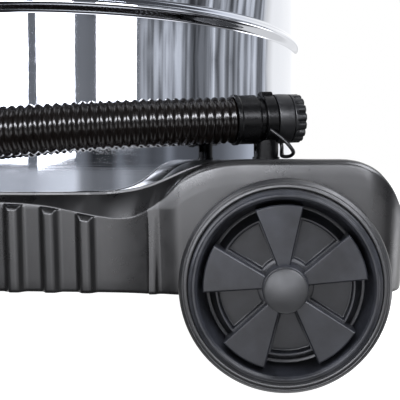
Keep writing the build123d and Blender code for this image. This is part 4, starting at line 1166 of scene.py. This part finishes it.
over = high_panel("panel_over", (0.1, -1.05, 1.75), (0.18, -0.27, 0.1), 1.5, 0.7, 15.0)
over.visible_glossy = False

# the glossy hose and its fittings have a narrow strip and a top light of their own
HOSE_SET = [hose, cuff, collar, tether, cap, strap, NODES["hose_post"]]
away = bpy.data.collections.new("not_on_the_hose")
own = bpy.data.collections.new("only_on_the_hose")
for ob in HOSE_SET:
    away.objects.link(ob)
    own.objects.link(ob)
for entry in away.collection_objects:
    entry.light_linking.link_state = "EXCLUDE"
no_high = bpy.data.collections.new("not_on_hose_or_drum")
for ob in (*HOSE_SET, drum):
    no_high.objects.link(ob)
for entry in no_high.collection_objects:
    entry.light_linking.link_state = "EXCLUDE"
for ob in fronts:
    ob.light_linking.receiver_collection = away
for ob in highs:
    ob.light_linking.receiver_collection = no_high
strip = softbox("panel_strip", (-2.3, -2.2), (1.9, -2.2), 0.74, 1.2, 36.0)
strip.visible_diffuse = False
top_strip = high_panel("panel_top_strip", (0.0, -0.45, 1.75), (0.0, -0.25, 0.2), 1.6, 0.5, 3.0)
for ob in (strip, top_strip):
    ob.light_linking.receiver_collection = own

world = bpy.data.worlds.new("studio")
scene.world = world
world.use_nodes = True
wt = world.node_tree
wt.nodes.clear()
w_out = wt.nodes.new("ShaderNodeOutputWorld")
bg_env = wt.nodes.new("ShaderNodeBackground")
bg_cam = wt.nodes.new("ShaderNodeBackground")
bg_cam.inputs["Color"].default_value = (1, 1, 1, 1)
bg_cam.inputs["Strength"].default_value = 1.0
mixs = wt.nodes.new("ShaderNodeMixShader")
lp = wt.nodes.new("ShaderNodeLightPath")
wt.links.new(lp.outputs["Is Camera Ray"], mixs.inputs["Fac"])
wt.links.new(bg_env.outputs["Background"], mixs.inputs[1])
wt.links.new(bg_cam.outputs["Background"], mixs.inputs[2])
wt.links.new(mixs.outputs["Shader"], w_out.inputs["Surface"])
tcw = wt.nodes.new("ShaderNodeTexCoord")
sep = wt.nodes.new("ShaderNodeSeparateXYZ")
wt.links.new(tcw.outputs["Generated"], sep.inputs["Vector"])
neg = wt.nodes.new("ShaderNodeMath")
neg.operation = "MULTIPLY"
neg.inputs[1].default_value = -1.0
wt.links.new(sep.outputs["Y"], neg.inputs[0])
az = wt.nodes.new("ShaderNodeMath")
az.operation = "ARCTAN2"
wt.links.new(sep.outputs["X"], az.inputs[0])
wt.links.new(neg.outputs["Value"], az.inputs[1])
azn = wt.nodes.new("ShaderNodeMapRange")
azn.inputs["From Min"].default_value = -math.pi
azn.inputs["From Max"].default_value = math.pi
wt.links.new(az.outputs["Value"], azn.inputs["Value"])


def compass(name, stops, tint):
    """Grey of the room by compass angle; 0 is in front of the vacuum, + to its rear wheels."""
    n = wt.nodes.new("ShaderNodeValToRGB")
    n.name = name
    els = n.color_ramp.elements
    while len(els) < len(stops):
        els.new(0.5)
    for e, (deg, g) in zip(els, stops):
        e.position = (deg + 180) / 360
        hue = (1.0, 1.0, 1.0) if abs(deg) > 120 else tint
        e.color = (g * hue[0], g * hue[1], g * hue[2], 1)
    wt.links.new(azn.outputs["Result"], n.inputs["Fac"])
    return n


walls = compass("walls", [
    (-180, 1.3), (-128, 1.25), (-118, 0.25), (-80, 0.12), (-45, 0.13), (-20, 0.20), (6, 0.24),
    (11, 0.20), (33, 0.32), (40, 0.56), (50, 0.64), (56, 0.60), (60, 0.52), (62, 0.16), (72, 0.18),
    (76, 0.90), (79, 0.16), (84, 0.60), (90, 0.26), (96, 0.60), (104, 0.66), (109, 0.66),
    (113, 0.22), (116, 0.62), (121, 0.95), (126, 1.25), (180, 1.3)], (0.94, 0.985, 1.08))
far_floor = compass("far_floor", [
    (-180, 0.9), (-128, 0.9), (-118, 0.3), (-60, 0.2), (-45, 0.5), (-36, 0.66), (-22, 0.62), (-8, 0.9),
    (2, 1.0), (6, 0.32), (12, 0.2), (20, 0.22), (26, 0.5), (32, 0.3), (40, 0.25), (116, 0.3),
    (124, 0.9), (180, 0.9)], (0.94, 0.985, 1.08))
front_floor = compass("front_floor", [
    (-180, 1.0), (-122, 1.0), (-110, 0.3), (-60, 0.15), (-36, 0.2), (-31, 0.5), (-26, 3.9), (-12, 3.9),
    (-3, 2.6),
    (34, 2.2), (44, 1.9), (54, 1.7), (62, 0.4), (90, 0.4), (97, 4.4), (112, 4.4), (122, 1.2), (180, 1.0)],
    (0.99, 0.99, 1.03))
shade = compass("shade", [(-180, 0.9), (-124, 0.9), (-112, 0.036), (112, 0.036), (122, 0.9),
                          (180, 0.9)], (0.97, 1.0, 1.1))


def ranged(socket, lo, hi, a=0.0, b=1.0):
    n = wt.nodes.new("ShaderNodeMapRange")
    n.interpolation_type = "SMOOTHSTEP"
    n.inputs["From Min"].default_value = lo
    n.inputs["From Max"].default_value = hi
    n.inputs["To Min"].default_value = a
    n.inputs["To Max"].default_value = b
    wt.links.new(socket, n.inputs["Value"])
    return n.outputs["Result"]


def blend_colour(fac, a, b, how="MIX"):
    n = wt.nodes.new("ShaderNodeMix")
    n.data_type = "RGBA"
    n.blend_type = how
    for sock, val in ((n.inputs["Factor"], fac), (n.inputs[6], a), (n.inputs[7], b)):
        if isinstance(val, (int, float)) or isinstance(val, tuple):
            sock.default_value = val
        else:
            wt.links.new(val, sock)
    return n.outputs[2]


# upright streaks on the wheels' side of the room
comb = wt.nodes.new("ShaderNodeCombineXYZ")
wt.links.new(azn.outputs["Result"], comb.inputs["X"])
flat = wt.nodes.new("ShaderNodeMath")
flat.operation = "MULTIPLY"
flat.inputs[1].default_value = 0.03
wt.links.new(sep.outputs["Z"], flat.inputs[0])
wt.links.new(flat.outputs["Value"], comb.inputs["Y"])
streak = wt.nodes.new("ShaderNodeTexNoise")
streak.inputs["Scale"].default_value = 110.0
streak.inputs["Detail"].default_value = 3.0
wt.links.new(comb.outputs["Vector"], streak.inputs["Vector"])
where = compass("where", [(-180, 0.0), (30, 0.0), (36, 1.0), (116, 1.0), (121, 0.0), (180, 0.0)],
                (1, 1, 1))
strong = ranged(streak.outputs["Fac"], 0.34, 0.66, 0.32, 1.42)
streaky = blend_colour(1.0, walls.outputs["Color"], strong, "MULTIPLY")
walls_out = blend_colour(where.outputs["Color"], walls.outputs["Color"], streaky)
# the darker foot of the walls on the wheels' side
foot = compass("foot", [
    (-180, 1.3), (-128, 1.25), (-118, 0.25), (-80, 0.12), (-45, 0.13), (-20, 0.20), (6, 0.24), (11, 0.03),
    (20, 0.03), (24, 0.2), (29, 0.09), (36, 0.16), (41, 0.1), (47, 0.14), (50, 0.32), (54, 0.14), (68, 0.1),
    (82, 0.16), (95, 0.36), (103, 0.6), (112, 0.62), (121, 0.95), (126, 1.25), (180, 1.3)],
    (0.92, 0.985, 1.12))
walls_out = blend_colour(ranged(sep.outputs["Z"], 0.10, 0.05), walls_out, foot.outputs["Color"])
# ceiling, floor in front, and the shade close under the object
over_head = compass("over_head", [(-180, 1.2), (-126, 1.2), (-112, 0.105), (108, 0.105), (120, 1.2),
                                  (180, 1.2)], (0.96, 1.0, 1.09))
ceiling = blend_colour(ranged(sep.outputs["Z"], 0.55, 0.8), walls_out, over_head.outputs["Color"])
floor_seen = blend_colour(ranged(sep.outputs["Z"], -0.06, -0.11), far_floor.outputs["Color"],
                          front_floor.outputs["Color"])
near = blend_colour(ranged(sep.outputs["Z"], -0.28, -0.40), floor_seen, shade.outputs["Color"])
near = blend_colour(ranged(sep.outputs["Z"], -0.80, -0.93), near, (1.3, 1.32, 1.38, 1))
room = blend_colour(ranged(sep.outputs["Z"], -0.004, -0.012), ceiling, near)
wt.links.new(room, bg_env.inputs["Color"])
bg_env.inputs["Strength"].default_value = 1.0

scene.view_settings.view_transform = "Standard"
scene.view_settings.look = "None"
scene.view_settings.exposure = 0.0
scene.view_settings.gamma = 1.0
